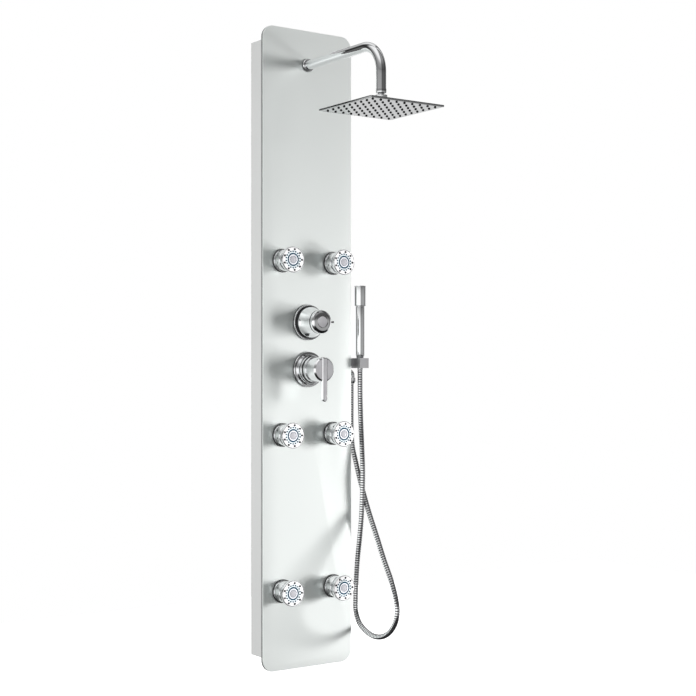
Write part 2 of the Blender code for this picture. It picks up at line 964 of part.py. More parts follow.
# The hose drops from the outlet, swings out from the wall in one long loop
# beside the panel and climbs to the holder. Across, out from the face, up.
HOSE_TOP_OUT = NUT_TOP - 14.3
HOSE_TOP_IN = -49.3
HOSE_ROUTE = [
    (OUTLET_X, OUTLET_A, HOSE_TOP_OUT),
    (OUTLET_X, OUTLET_A, -130),
    (143.2, -25.8, -185),
    (146, -24.5, -236),
    (151, -17, -275),
    (155.5, -6, -318),
    (157, 9, -354),
    (156.5, 30, -394),
    (155, 62, -446),
    (153.5, 94, -500),
    (152.5, 124, -546),
    (151.5, 144, -588),
    (151, 149, -614),
    (150.5, 143, -640),
    (150, 124, -664),
    (149.5, 96, -680),
    (149, 62, -685),
    (148.5, 27, -677),
    (148, 1, -661),
    (147.5, -13, -634),
    (147, -13, -600),
    (146.5, -9.5, -556),
    (146, -3.5, -508),
    (145.3, 6, -458),
    (144.6, 14.5, -405),
    (144.4, 19, -345),
    (145, 19.5, -290),
    (147, 13.5, -235),
    (149.5, 5.5, -172),
    (WAND_X, 0.6, -110),
    (WAND_X, WAND_A, HOSE_TOP_IN),
]
hose, HOSE_LENGTH = smooth_route(HOSE_ROUTE, HOSE_STEP)
cable("shower_hose", hose, HOSE_D, BRAID)
print("hose length, mm:", round(HOSE_LENGTH, 1))
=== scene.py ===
"""Looks of the wall-mounted rainfall shower column: turned and swept metal
pieces, a ridged metal hose, nozzles, and a procedural material for each
surface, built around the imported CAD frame. Lengths below are in millimetres
unless a name says otherwise; P() turns them into metres in the frame.
"""

import math

import bmesh
import bpy
import numpy as np
from mathutils import Matrix, Vector


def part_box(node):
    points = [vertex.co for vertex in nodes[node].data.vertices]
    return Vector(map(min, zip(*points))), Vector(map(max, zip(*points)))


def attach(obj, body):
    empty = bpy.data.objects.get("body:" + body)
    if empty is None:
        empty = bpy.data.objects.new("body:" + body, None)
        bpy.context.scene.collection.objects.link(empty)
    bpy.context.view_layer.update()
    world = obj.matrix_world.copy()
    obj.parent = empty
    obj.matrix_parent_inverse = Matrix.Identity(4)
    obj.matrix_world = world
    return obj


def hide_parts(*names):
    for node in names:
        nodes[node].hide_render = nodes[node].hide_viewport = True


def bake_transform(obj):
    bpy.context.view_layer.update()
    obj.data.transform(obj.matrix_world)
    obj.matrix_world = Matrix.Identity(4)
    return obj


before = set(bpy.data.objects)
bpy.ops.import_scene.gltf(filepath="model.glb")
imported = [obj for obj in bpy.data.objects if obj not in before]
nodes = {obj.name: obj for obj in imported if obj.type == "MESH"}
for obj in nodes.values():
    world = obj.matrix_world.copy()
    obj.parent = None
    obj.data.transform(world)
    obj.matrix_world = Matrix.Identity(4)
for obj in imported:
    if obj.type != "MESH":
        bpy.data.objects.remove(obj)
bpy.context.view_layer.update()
MM = 0.001

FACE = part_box("front_panel")[0].y  # front face of the panel, metres
SIDES = (("left", -1), ("right", 1))
ROWS = ("upper", "middle", "lower")


def mid(node):
    lo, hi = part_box(node)
    return (lo + hi) / 2


def P(x, a, z):
    """Point from mm across, mm out from the panel's face, mm up."""
    return Vector((x * MM, FACE - a * MM, z * MM))


# ---------------------------------------------------------------- camera
cam_data = bpy.data.cameras.new("camera")
cam_data.sensor_width = 36.0
cam_data.lens = 72.03
cam_data.shift_y = 0.0315
cam_data.clip_end = 60.0
cam = bpy.data.objects.new("camera", cam_data)
cam.location = (-1.81534, -2.79918, -0.04954)
cam.rotation_euler = (math.radians(90), 0, math.radians(-35.15))
bpy.context.scene.collection.objects.link(cam)
bpy.context.scene.camera = cam
bpy.context.scene.view_settings.view_transform = "Standard"


# ------------------------------------------------------------- materials
class Maker:
    """A few shorthands for one material's node tree."""

    def __init__(self, name):
        self.m = bpy.data.materials.new(name)
        self.m.use_nodes = True
        self.t = self.m.node_tree
        self.b = self.t.nodes["Principled BSDF"]
        self.co = self.t.nodes.new("ShaderNodeTexCoord").outputs["Object"]

    def node(self, kind, **values):
        n = self.t.nodes.new(kind)
        for k, v in values.items():
            if k in n.inputs:
                n.inputs[k].default_value = v
            else:
                setattr(n, k, v)
        return n

    def link(self, a, b):
        self.t.links.new(a, b)

    def coords(self, scale=(1, 1, 1)):
        n = self.node("ShaderNodeMapping")
        n.inputs["Scale"].default_value = scale
        self.link(self.co, n.inputs["Vector"])
        return n.outputs["Vector"]

    def noise(self, scale, detail=3.0, stretch=(1, 1, 1), rough=0.5):
        n = self.node("ShaderNodeTexNoise", Scale=scale, Detail=detail, Roughness=rough)
        self.link(self.coords(stretch), n.inputs["Vector"])
        return n.outputs["Fac"]

    def spread(self, value, low, high, start=0.3, end=0.7):
        n = self.node("ShaderNodeMapRange")
        n.inputs["From Min"].default_value = start
        n.inputs["From Max"].default_value = end
        n.inputs["To Min"].default_value = low
        n.inputs["To Max"].default_value = high
        self.link(value, n.inputs["Value"])
        return n.outputs["Result"]

    def ramp(self, value, stops):
        n = self.node("ShaderNodeValToRGB")
        e = n.color_ramp.elements
        while len(e) < len(stops):
            e.new(0.5)
        for i, (pos, colour) in enumerate(stops):
            e[i].position = pos
            e[i].color = (*colour, 1.0)
        self.link(value, n.inputs["Fac"])
        return n.outputs["Color"]

    def math(self, op, a, b=None):
        n = self.node("ShaderNodeMath", operation=op)
        for i, v in enumerate((a, b)):
            if v is None:
                continue
            if isinstance(v, (int, float)):
                n.inputs[i].default_value = v
            else:
                self.link(v, n.inputs[i])
        return n.outputs[0]

    def bump(self, height, strength, distance, below=None):
        n = self.node("ShaderNodeBump", Strength=strength, Distance=distance)
        self.link(height, n.inputs["Height"])
        if below is not None:
            self.link(below, n.inputs["Normal"])
        return n.outputs["Normal"]


def tone(colour, k):
    return tuple(min(1.0, c * k) for c in colour)


def surface(
    name,
    base,
    rough,
    metal=1.0,
    tint=0.02,
    patch=14.0,
    smudge=0.02,
    smudge_scale=35.0,
    grain=None,
    coat=0.0,
):
    """A finish with slow colour and gloss variation and a fine surface grain:
    grain is (scale, stretch, strength, distance in metres)."""
    k = Maker(name)
    k.b.inputs["Metallic"].default_value = metal
    if coat:
        k.b.inputs["Coat Weight"].default_value = coat
        k.b.inputs["Coat Roughness"].default_value = 0.08
    k.link(
        k.ramp(k.noise(patch, 2.0), [(0.32, tone(base, 1 - tint)), (0.68, tone(base, 1 + tint))]),
        k.b.inputs["Base Color"],
    )
    k.link(
        k.spread(k.noise(smudge_scale, 4.0), max(0.015, rough - smudge), rough + smudge),
        k.b.inputs["Roughness"],
    )
    if grain:
        scale, stretch, strength, distance = grain
        k.link(
            k.bump(k.noise(scale, 2.0, stretch), strength, distance), k.b.inputs["Normal"]
        )
    return k.m


SATIN = surface(
    "satin_plate",
    (0.858, 0.910, 0.889),
    0.305,
    metal=0.55,
    tint=0.01,
    patch=3.0,
    smudge=0.014,
    smudge_scale=5.0,
    grain=(900.0, (1, 1, 0.04), 0.012, 0.0001),
)
# Dark grey for the plate's outer side wall: painted shade along the edge of the satin sheet.
PLATE_EDGE_SHADE = surface("plate_edge_painted_shade", (0.24, 0.245, 0.245), 0.4, metal=0.7, patch=30.0, smudge=0.05)
CHROME = surface(
    "chrome", (0.90, 0.91, 0.92), 0.045, tint=0.012, smudge=0.015, grain=(900.0, (1, 1, 1), 0.02, 0.00005)
)
# Dark chrome for bores and slots: painted shade inside the recesses.
CHROME_RECESS_SHADE = surface("chrome_painted_recess_shade", (0.12, 0.125, 0.13), 0.16, smudge=0.05)
# Near-black metal: painted shade on the side walls, grooves and hollows of the roses, knob, jet cups and jet necks;
# also the black set screws and the knob pin's tip.
PAINTED_SHADE_BLACK_STEEL = surface("black_steel_and_painted_shade", (0.035, 0.036, 0.038), 0.35, metal=0.6, smudge=0.08)
HOUSING = surface(
    "anodised_housing",
    (0.43, 0.436, 0.432),
    0.42,
    metal=0.25,
    tint=0.02,
    patch=4.0,
    smudge=0.04,
    grain=(120.0, (12, 12, 0.6), 0.12, 0.0003),
)
ZINC = surface(
    "zinc_plated", (0.60, 0.62, 0.65), 0.4, tint=0.12, patch=60.0, smudge=0.1, grain=(300.0, (1, 1, 1), 0.2, 0.0003)
)
BRASS = surface(
    "cast_brass", (0.70, 0.53, 0.27), 0.4, tint=0.10, patch=50.0, smudge=0.1, grain=(420.0, (1, 1, 1), 0.45, 0.0005)
)
RUBBER = surface(
    "black_silicone", (0.010, 0.0105, 0.012), 0.65, metal=0.0, tint=0.25, patch=120.0, grain=(900.0, (1, 1, 1), 0.25, 0.0002)
)
TEAL = surface(
    "teal_silicone", (0.004, 0.04, 0.07), 0.42, metal=0.0, tint=0.25, patch=160.0, grain=(900.0, (1, 1, 1), 0.2, 0.0002)
)
NYLON = surface(
    "white_nylon", (0.80, 0.80, 0.77), 0.45, metal=0.0, tint=0.04, patch=60.0, grain=(600.0, (1, 1, 1), 0.2, 0.0002)
)
PIPE = surface(
    "grey_pipe", (0.50, 0.52, 0.56), 0.42, metal=0.0, tint=0.06, patch=40.0, smudge=0.08, grain=(160.0, (4, 4, 1), 0.2, 0.0003)
)
HEAD_METAL = surface(
    "head_satin", (0.50, 0.51, 0.515), 0.09, tint=0.03, patch=18.0, smudge=0.04, grain=(200.0, (1, 1, 1), 0.06, 0.0002)
)
HOLDER = surface(
    "holder_satin", (0.50, 0.505, 0.515), 0.42, metal=0.7, tint=0.03, patch=40.0, smudge=0.05, grain=(380.0, (1, 1, 1), 0.12, 0.0002)
)
FACE_DISC = surface(
    "brushed_face", (0.64, 0.645, 0.665), 0.37, metal=0.75, tint=0.05, patch=60.0, smudge=0.05, grain=(190.0, (9, 9, 0.5), 0.35, 0.0004)
)
LEVER_FACE = surface("lever_face", (0.66, 0.665, 0.685), 0.36, metal=0.75, tint=0.04, patch=60.0, smudge=0.04, grain=(190.0, (9, 9, 0.5), 0.2, 0.0003))
HOSE_CREST = surface("hose_crest", (0.86, 0.87, 0.88), 0.09, tint=0.03, patch=30.0, smudge=0.03)
# Dark metal for the hose's grooves: painted shade in the creases between crests.
HOSE_GROOVE_SHADE = surface("hose_groove_painted_shade", (0.10, 0.10, 0.11), 0.3, metal=0.8, tint=0.1, patch=30.0, smudge=0.06)


def jet_face():
    """Silvery jet face with a cool blue-green tint round its inner nozzles."""
    k = Maker("jet_face")
    sep = k.node("ShaderNodeSeparateXYZ")
    k.link(k.co, sep.inputs[0])
    x2 = k.math("MULTIPLY", sep.outputs[0], sep.outputs[0])
    z2 = k.math("MULTIPLY", sep.outputs[2], sep.outputs[2])
    radius = k.math("SQRT", k.math("ADD", x2, z2))
    r = k.math("MULTIPLY", radius, 1 / 0.032)
    silver, cyan, pale = (0.90, 0.91, 0.915), (0.80, 0.88, 0.905), (0.84, 0.86, 0.90)
    k.link(
        k.ramp(
            r,
            [(0.0, pale), (0.40, pale), (0.50, cyan), (0.60, cyan), (0.70, silver), (1.0, silver)],
        ),
        k.b.inputs["Base Color"],
    )
    k.b.inputs["Metallic"].default_value = 0.3
    k.link(k.spread(k.noise(60.0, 3.0), 0.13, 0.2), k.b.inputs["Roughness"])
    k.link(k.bump(k.noise(700.0, 2.0), 0.05, 0.0002), k.b.inputs["Normal"])
    return k.m


JET_FACE = jet_face()
JET_CENTRE = surface("jet_centre", (0.70, 0.71, 0.75), 0.37, metal=0.6, tint=0.05, patch=80.0, smudge=0.05)


def braid():
    """Woven wire: two crossing sets of fine slanted wires."""
    k = Maker("wire_braid")
    k.b.inputs["Metallic"].default_value = 1.0
    waves = []
    for slant in (1.0, -1.0):
        sep = k.node("ShaderNodeSeparateXYZ")
        k.link(k.co, sep.inputs[0])
        angle = k.math("ARCTAN2", k.math("ADD", sep.outputs[1], 0.029), sep.outputs[0])
        along = k.math("MULTIPLY", sep.outputs[2], 900.0)
        turn = k.math("MULTIPLY", angle, 14.0 * slant)
        waves.append(k.math("SINE", k.math("ADD", along, turn)))
    top = k.math("MAXIMUM", waves[0], waves[1])
    # Darker in the dips between the wires: painted shade.
    k.link(
        k.ramp(k.spread(top, 0.0, 1.0, -0.2, 1.0), [(0.0, (0.16, 0.16, 0.17)), (1.0, (0.72, 0.73, 0.74))]),
        k.b.inputs["Base Color"],
    )
    k.link(k.spread(k.noise(80.0), 0.28, 0.42), k.b.inputs["Roughness"])
    k.link(k.bump(top, 0.8, 0.0004), k.b.inputs["Normal"])
    return k.m


BRAID = braid()


# --------------------------------------------------------------- meshes
def build(name, verts, faces, mats, index=None, smooth=32.0, centre=None, weld=True):
    """A mesh object from plain lists, facing outwards, in metres. With a
    centre the object sits there and its mesh is in its own coordinates."""
    mesh = bpy.data.meshes.new(name)
    mesh.from_pydata([tuple(v) for v in verts], [], [tuple(f) for f in faces])
    for m in mats:
        mesh.materials.append(m)
    if index is not None:
        mesh.polygons.foreach_set("material_index", np.array(index, np.int32))
    bm = bmesh.new()
    bm.from_mesh(mesh)
    if weld:
        bmesh.ops.remove_doubles(bm, verts=bm.verts, dist=1e-6)
    bmesh.ops.recalc_face_normals(bm, faces=bm.faces)
    bm.to_mesh(mesh)
    bm.free()
    mesh.shade_smooth()
    mesh.set_sharp_from_angle(angle=math.radians(smooth))
    o = bpy.data.objects.new(name, mesh)
    if centre is not None:
        o.location = centre
    bpy.context.scene.collection.objects.link(o)
    return o


def fillet(profile, radius=0.5, n=3, closed=False):
    """Rounds each corner of a profile. A point may carry its own radius."""
    out, count = [], len(profile)
    for i, p in enumerate(profile):
        rad = p[2] if len(p) > 2 else radius
        if (not closed and i in (0, count - 1)) or rad <= 0:
            out.append((p[0], p[1]))
            continue
        a, b, c = (np.array(profile[j % count][:2], float) for j in (i - 1, i, i + 1))
        u, v = a - b, c - b
        lu, lv = np.linalg.norm(u), np.linalg.norm(v)
        u, v = u / lu, v / lv
        angle = math.acos(max(-1, min(1, float(u @ v))))
        if angle > math.radians(168):
            out.append((float(b[0]), float(b[1])))
            continue
        t = min(rad / math.tan(angle / 2), 0.45 * lu, 0.45 * lv)
        rr = t * math.tan(angle / 2)
        w = (u + v) / np.linalg.norm(u + v)
        centre = b + w * rr / math.sin(angle / 2)
        d0, d1 = b + u * t - centre, b + v * t - centre
        a0 = math.atan2(d0[1], d0[0])
        step = math.atan2(d0[0] * d1[1] - d0[1] * d1[0], float(d0 @ d1))
        for k in range(n + 1):
            t = a0 + step * k / n
            out.append((centre[0] + rr * math.cos(t), centre[1] + rr * math.sin(t)))
    return out


def lathe(profile, segs, closed, zones=None, wave=None):
    """Vertices, faces and material indices of a turned piece about local Z,
    in mm. zones gives a material index for a (radius, height); wave changes
    (radius, height, angle)."""
    verts, rows, faces, index = [], [], [], []
    for r, h in profile:
        if r < 1e-6:
            rows.append([len(verts)])
            verts.append((0.0, 0.0, h))
            continue
        row = []
        for k in range(segs):
            t = math.tau * k / segs
            rr, hh = wave(r, h, t) if wave else (r, h)
            row.append(len(verts))
            verts.append((rr * math.cos(t), rr * math.sin(t), hh))
        rows.append(row)
    pairs = list(range(len(rows) - 1)) + ([len(rows) - 1] if closed else [])
    for i in pairs:
        a, b = rows[i], rows[(i + 1) % len(rows)]
        pa, pb = profile[i], profile[(i + 1) % len(rows)]
        z = zones((pa[0] + pb[0]) / 2, (pa[1] + pb[1]) / 2) if zones else 0
        if len(a) == 1 and len(b) == 1:
            continue
        for k in range(segs):
            j = (k + 1) % segs
            if len(a) == 1:
                f = (a[0], b[k], b[j])
            elif len(b) == 1:
                f = (a[k], b[0], a[j])
            else:
                f = (a[k], b[k], b[j], a[j])
            faces.append(f)
            index.append(z)
    return verts, faces, index


AXES = {
    "out": lambda v: (v[0], -v[2], v[1]),
    "up": lambda v: (v[0], v[1], v[2]),
    "right": lambda v: (v[2], v[1], -v[0]),
    "left": lambda v: (-v[2], v[1], v[0]),
    "down": lambda v: (v[0], -v[1], -v[2]),
}


def turned(name, profile, centre, axis, mats, segs=96, closed=False, zones=None, wave=None, smooth=32.0):
    verts, faces, index = lathe(profile, segs, closed, zones, wave)
    place = AXES[axis]
    verts = [tuple(c * MM for c in place(v)) for v in verts]
    mats = mats if isinstance(mats, (list, tuple)) else [mats]
    return build(name, verts, faces, mats, index, smooth, centre)


def transport(points):
    """Cross axes carried along a path without twist."""
    out, prev = [], None
    for i in range(len(points)):
        a, b = points[max(i - 1, 0)], points[min(i + 1, len(points) - 1)]
        t = (b - a).normalized()
        side = t.orthogonal().normalized() if prev is None else (prev - t * prev.dot(t)).normalized()
        prev = side
        out.append((side, t.cross(side)))
    return out


def swept(name, path, radii, segs, mats, bore=None, index_of=None, smooth=40.0):
    """A round tube along a path of points in metres; radii in mm."""
    axes = transport(path)
    radii = radii if isinstance(radii, (list, tuple)) else [radii] * len(path)
    rows, verts, faces, index = [], [], [], []

    def loop(i, r):
        s, t = axes[i]
        row = []
        for k in range(segs):
            w = math.tau * k / segs
            row.append(len(verts))
            verts.append(path[i] + (s * math.cos(w) + t * math.sin(w)) * r * MM)
        rows.append(row)

    for i, r in enumerate(radii):
        loop(i, r)
    outer = len(rows)
    if bore:
        for i in reversed(range(len(path))):
            loop(i, bore)
        rows.append(rows[0])
    for n, (a, b) in enumerate(zip(rows, rows[1:])):
        z = index_of(n) if index_of and n < outer - 1 else 0
        for k in range(segs):
            j = (k + 1) % segs
            faces.append((a[k], a[j], b[j], b[k]))
            index.append(z)
    if not bore:
        for row in (rows[0], rows[-1]):
            faces.append(tuple(row))
            index.append(0)
    mats = mats if isinstance(mats, (list, tuple)) else [mats]
    return build(name, verts, faces, mats, index, smooth, weld=False)


def carve(o, *tools):
    """Cuts closed tools out of o and keeps the result as its mesh."""
    for t in tools:
        m = o.modifiers.new("carve", "BOOLEAN")
        m.operation, m.solver, m.object = "DIFFERENCE", "EXACT", t
    bpy.context.view_layer.update()
    dg = bpy.context.evaluated_depsgraph_get()
    mesh = bpy.data.meshes.new_from_object(o.evaluated_get(dg))
    old = o.data
    o.modifiers.clear()
    o.data = mesh
    bpy.data.meshes.remove(old)
    for t in tools:
        bpy.data.objects.remove(t, do_unlink=True)
    mesh.shade_smooth()
    mesh.set_sharp_from_angle(angle=math.radians(32))
    return o


def merged(name, parts, mats, centre=None, smooth=32.0):
    """One mesh of several closed pieces: parts are (verts mm, faces, index)."""
    verts, faces, index = [], [], []
    for v, f, i in parts:
        base = len(verts)
        verts += [tuple(c * MM for c in p) for p in v]
        faces += [tuple(base + k for k in face) for face in f]
        index += list(i)
    return build(name, verts, faces, mats, index, smooth, centre, weld=False)


def moved(part, place, index=None):
    v, f, i = part
    return [place(p) for p in v], f, ([index] * len(i) if index is not None else i)


def put(o, body, slot, *replaced):
    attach(o, body)
    if replaced:
        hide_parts(*replaced)
    return o


def rounded_rect(w, h, r, steps):
    pts = []
    for cx, cy, start in (
        (w / 2 - r, h / 2 - r, 0),
        (-w / 2 + r, h / 2 - r, 90),
        (-w / 2 + r, -h / 2 + r, 180),
        (w / 2 - r, -h / 2 + r, 270),
    ):
        for i in range(steps + 1):
            t = math.radians(start + 90 * i / steps)
            pts.append((cx + r * math.cos(t), cy + r * math.sin(t)))
    return pts


def stacked(sections, steps, place):
    """Closed skin through rounded rectangles: (w, h, r, depth) each."""
    verts, faces, rows = [], [], []
    for w, h, r, d in sections:
        row = []
        for x, y in rounded_rect(w, h, max(r, 0.2), steps):
            row.append(len(verts))
            verts.append(place(x, y, d))
        rows.append(row)
    for a, b in zip(rows, rows[1:]):
        n = len(a)
        for k in range(n):
            j = (k + 1) % n
            faces.append((a[k], a[j], b[j], b[k]))
    faces.append(tuple(rows[0]))
    faces.append(tuple(rows[-1]))
    return verts, faces


# ------------------------------------------------------------------ hose
HOSE_ROUTE = [
    (143, -25.5, -82.6),
    (143, -25.5, -130),
    (143.2, -25.8, -185),
    (146, -24.5, -236),
    (151, -17, -275),
    (155.5, -6, -318),
    (157, 9, -354),
    (156.5, 30, -394),
    (155, 62, -446),
    (153.5, 94, -500),
    (152.5, 124, -546),
    (151.5, 144, -588),
    (151, 149, -614),
    (150.5, 143, -640),
    (150, 124, -664),
    (149.5, 96, -680),
    (149, 62, -685),
    (148.5, 27, -677),
    (148, 1, -661),
    (147.5, -13, -634),
    (147, -13, -600),
    (146.5, -9.5, -556),
    (146, -3.5, -508),
    (145.3, 6, -458),
    (144.6, 14.5, -405),
    (144.4, 19, -345),
    (145, 19.5, -290),
    (147, 13.5, -235),
    (149.5, 5.5, -172),
    (151, 0.6, -110),
    (151, 0, -49.3),
]


def smooth_route(knots, step):
    """Even points on one centripetal Catmull-Rom curve through the knots."""
    ks = [Vector(k) for k in knots]
    ks = [ks[0] * 2 - ks[1]] + ks + [ks[-1] * 2 - ks[-2]]
    fine = []
    for i in range(1, len(ks) - 2):
        p0, p1, p2, p3 = ks[i - 1 : i + 3]
        t0 = 0.0
        t1 = t0 + (p1 - p0).length ** 0.5
        t2 = t1 + (p2 - p1).length ** 0.5
        t3 = t2 + (p3 - p2).length ** 0.5
        for j in range(32):
            t = t1 + (t2 - t1) * j / 32
            a1 = p0 * ((t1 - t) / (t1 - t0)) + p1 * ((t - t0) / (t1 - t0))
            a2 = p1 * ((t2 - t) / (t2 - t1)) + p2 * ((t - t1) / (t2 - t1))
            a3 = p2 * ((t3 - t) / (t3 - t2)) + p3 * ((t - t2) / (t3 - t2))
            b1 = a1 * ((t2 - t) / (t2 - t0)) + a2 * ((t - t0) / (t2 - t0))
            b2 = a2 * ((t3 - t) / (t3 - t1)) + a3 * ((t - t1) / (t3 - t1))
            fine.append(b1 * ((t2 - t) / (t2 - t1)) + b2 * ((t - t1) / (t2 - t1)))
    fine.append(ks[-2])
    along = [0.0]
    for p, q in zip(fine, fine[1:]):
        along.append(along[-1] + (q - p).length)
    count = max(2, round(along[-1] / step))
    out, j = [], 0
    for i in range(count + 1):
        s = along[-1] * i / count
        while j < len(along) - 2 and along[j + 1] < s:
            j += 1
        k = (s - along[j]) / max(along[j + 1] - along[j], 1e-9)
        out.append(fine[j].lerp(fine[j + 1], min(max(k, 0), 1)))
    return out, along[-1]


route, HOSE_LENGTH = smooth_route(HOSE_ROUTE, 1.16)
path = [P(*p) for p in route]
# Each turn of the interlocked strip: a rounded crest and a narrow groove, the groove painted dark as shade.
RIDGE = (6.2, 6.25, 6.25, 6.2, 5.2)
hose = swept(
    "metal_hose",
    path,
    [RIDGE[i % 5] for i in range(len(path))],
    20,
    [HOSE_CREST, HOSE_GROOVE_SHADE],
    # The groove rows take the dark groove material: painted shade.
    index_of=lambda n: 1 if n % 5 in (3, 4) else 0,
    smooth=25.0,
)
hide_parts("shower_hose")

# -------------------------------------------------- front panel, housing
W, H, R = 250.0, 1500.0, 29.0


def plate_at(x, z, a):
    return P(x, a, z)


sections = [
    (W, H, R, -7.0),
    (W, H, R, -1.0),
    (W - 0.3, H - 0.3, R - 0.15, -0.45),
    (W - 0.9, H - 0.9, R - 0.45, -0.12),
    (W - 1.8, H - 1.8, R - 0.9, 0.0),
]
verts, faces = [], []
outer = stacked(sections, 20, plate_at)
inner = stacked([(W - 3, H - 3, R - 1.5, -7.0), (W - 3, H - 3, R - 1.5, -1.5)], 20, plate_at)
n_row = 4 * 21
verts = outer[0] + inner[0]
shift = len(outer[0])
faces = [f for f in outer[1][:-2]] + [outer[1][-1]]
faces += [tuple(shift + k for k in f) for f in inner[1][:-2]] + [tuple(shift + k for k in inner[1][-1])]
for k in range(n_row):
    j = (k + 1) % n_row
    faces.append((k, j, shift + j, shift + k))
index = [0] * len(faces)
# The outer side wall takes the dark edge material: painted shade.
for k in range(n_row):
    index[k] = 1
plate = build("satin_plate", verts, faces, [SATIN, PLATE_EDGE_SHADE], index)


def plug(node_or_point, radius):
    v, f, _ = lathe([(0, -14), (radius, -14), (radius, 6), (0, 6)], 48, False)
    c = node_or_point
    return build(
        "plug",
        [tuple(x * MM for x in AXES["out"](p)) for p in v],
        f,
        [PLATE_EDGE_SHADE],
        centre=Vector((c.x, FACE, c.z)),
    )


tools = [plug(mid("arm_flange"), 11.6), plug(mid("diverter_escutcheon"), 24.6), plug(mid("mixer_escutcheon"), 24.6)]
for row in ROWS:
    for side, _ in SIDES:
        tools.append(plug(mid(f"jet_base_{row}_{side}"), 10.8))
carve(plate, *tools)
put(plate, "panel", "satin_panel", "front_panel")

for n in ("side_profile_left", "side_profile_right", "top_end_cap", "bottom_end_cap"):
    nodes[n].data.materials.clear()
    nodes[n].data.materials.append(HOUSING)
for n in ("upper_wall_bracket", "centre_wall_bracket", "lower_wall_bracket"):
    nodes[n].data.materials.clear()
    nodes[n].data.materials.append(ZINC)
for n in (
    "arm_inlet_elbow",
    "diverter_valve_body",
    "diverter_cartridge",
    "mixer_valve_body",
    "mixer_cartridge",
):
    nodes[n].data.materials.clear()
    nodes[n].data.materials.append(BRASS)
for n in (
    "rain_riser_pipe",
    "mixer_to_diverter_pipe",
    "jet_manifold_left",
    "jet_manifold_right",
    "hand_shower_feed_pipe",
):
    nodes[n].data.materials.clear()
    nodes[n].data.materials.append(PIPE)
for n in ("hot_inlet_hose", "cold_inlet_hose"):
    nodes[n].data.materials.clear()
    nodes[n].data.materials.append(BRAID)
for n in ["ball_seat_ring"] + [f"jet_seat_{r}_{s}" for r in ROWS for s, _ in SIDES]:
    nodes[n].data.materials.clear()
    nodes[n].data.materials.append(NYLON)
nodes["handset_holder"].data.materials.clear()
nodes["handset_holder"].data.materials.append(HOLDER)

for n, width in (
    ("side_profile_left", 0.35),
    ("side_profile_right", 0.35),
    ("top_end_cap", 0.3),
    ("bottom_end_cap", 0.3),
    ("upper_wall_bracket", 0.3),
    ("centre_wall_bracket", 0.3),
    ("lower_wall_bracket", 0.3),
    ("diverter_valve_body", 1.2),
    ("mixer_valve_body", 1.2),
    ("handset_holder", 0.5),
    ("arm_inlet_elbow", 0.6),
):
    m = nodes[n].modifiers.new("edge", "BEVEL")
    m.width, m.segments, m.limit_method = width * MM, 2, "ANGLE"
    m.angle_limit = math.radians(50)
    m.harden_normals = False

# ------------------------------------------------------------ overhead arm
arm_z = mid("arm_flange").z / MM
lo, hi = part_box("shower_arm")
arm_out = -(lo.y - FACE) / MM - 11.0  # axis of the drop, mm out from the face
arm_low = lo.z / MM
bend = 65.0
arm_path = [P(0, -14, arm_z)]
for i in range(1, 13):
    arm_path.append(P(0, -14 + (arm_out - bend + 14) * i / 13, arm_z))
for i in range(29):
    t = math.pi / 2 * i / 28
    arm_path.append(P(0, arm_out - bend + bend * math.sin(t), arm_z - bend + bend * math.cos(t)))
for i in range(1, 6):
    arm_path.append(P(0, arm_out, arm_z - bend - (arm_z - bend - arm_low) * i / 5))
arm = swept("arm_tube", arm_path, 11.0, 56, CHROME, bore=8.8)
put(arm, "panel", "chrome", "shower_arm")
put(
    turned(
        "arm_rosette",
        fillet(
            [(11.35, 0.3, 0.1), (15.5, 0.3, 0.2), (15.5, 2.9, 0.8), (14.4, 4.4, 0.8), (12.6, 5.2, 0.5), (11.35, 5.2, 0.2)],
            closed=True,
        ),
        P(0, 0, arm_z),
        "out",
        [CHROME, PAINTED_SHADE_BLACK_STEEL],
        72,
        closed=True,
        # Slot 1 paints shade on the rosette's outer side wall.
        zones=lambda r, h: 1 if r > 15.2 and h < 2.4 else 0,
    ),
    "panel",
    "chrome",
    "arm_flange",
)

# ------------------------------------------------ rain head and its swivel
BALL_Z = 545.0
ball = P(0, arm_out, BALL_Z)
put(
    turned(
        "swivel_ball",
        fillet(
            [
                (3.5, 20.7, 0.2),
                (11.6, 20.7, 0.4),
                (11.6, 12.5, 0.6),
                (9.0, 11.0, 0.4),
                (5.0, 9.5, 0.3),
                (5.0, 8.08, 0.3),
                (7.6, 5.7, 2.0),
                (9.0, 3.0, 2.0),
                (9.5, 0.0, 2.0),
                (8.6, -4.0, 2.0),
                (6.0, -7.3, 1.0),
                (3.5, -8.8, 0.3),
            ],
            closed=True,
        ),
        ball,
        "up",
        CHROME,
        64,
        closed=True,
    ),
    "panel",
    "chrome",
    "arm_ball_joint",
)


def knurl(count, depth, low, high, r_min):
    """Fine vertical ribs on the outside of a nut between two heights."""

    def wave(r, h, t):
        if r > r_min and low <= h <= high:
            r -= depth * (0.5 - 0.5 * math.cos(count * t))
        return r, h

    return wave


put(
    turned(
        "swivel_nut",
        fillet(
            [
                (9.1, 7.2, 0.1),
                (12.9, 7.2, 0.3),
                (13.6, 6.4, 0.3),
                (13.6, 4.6, 0),
                (13.6, -6.0, 0),
                (13.6, -8.4, 0.3),
                (12.9, -10.0, 0.3),
                (6.9, -10.0, 0.1),
                (10.6, -6.2, 1.0),
                (12.2, -2.2, 1.0),
                (12.2, 2.2, 1.0),
                (10.6, 6.2, 1.0),
            ],
            closed=True,
        ),
        ball,
        "up",
        CHROME,
        192,
        closed=True,
        wave=knurl(48, 0.35, -6.0, 4.6, 13.3),
    ),
    "rain_head_sway",
    "chrome",
    "ball_joint_nut",
)

HEAD_LOW, HEAD_TOP = 522.0, 526.0


def head_at(x, y, z):
    return P(x, arm_out + y, z)


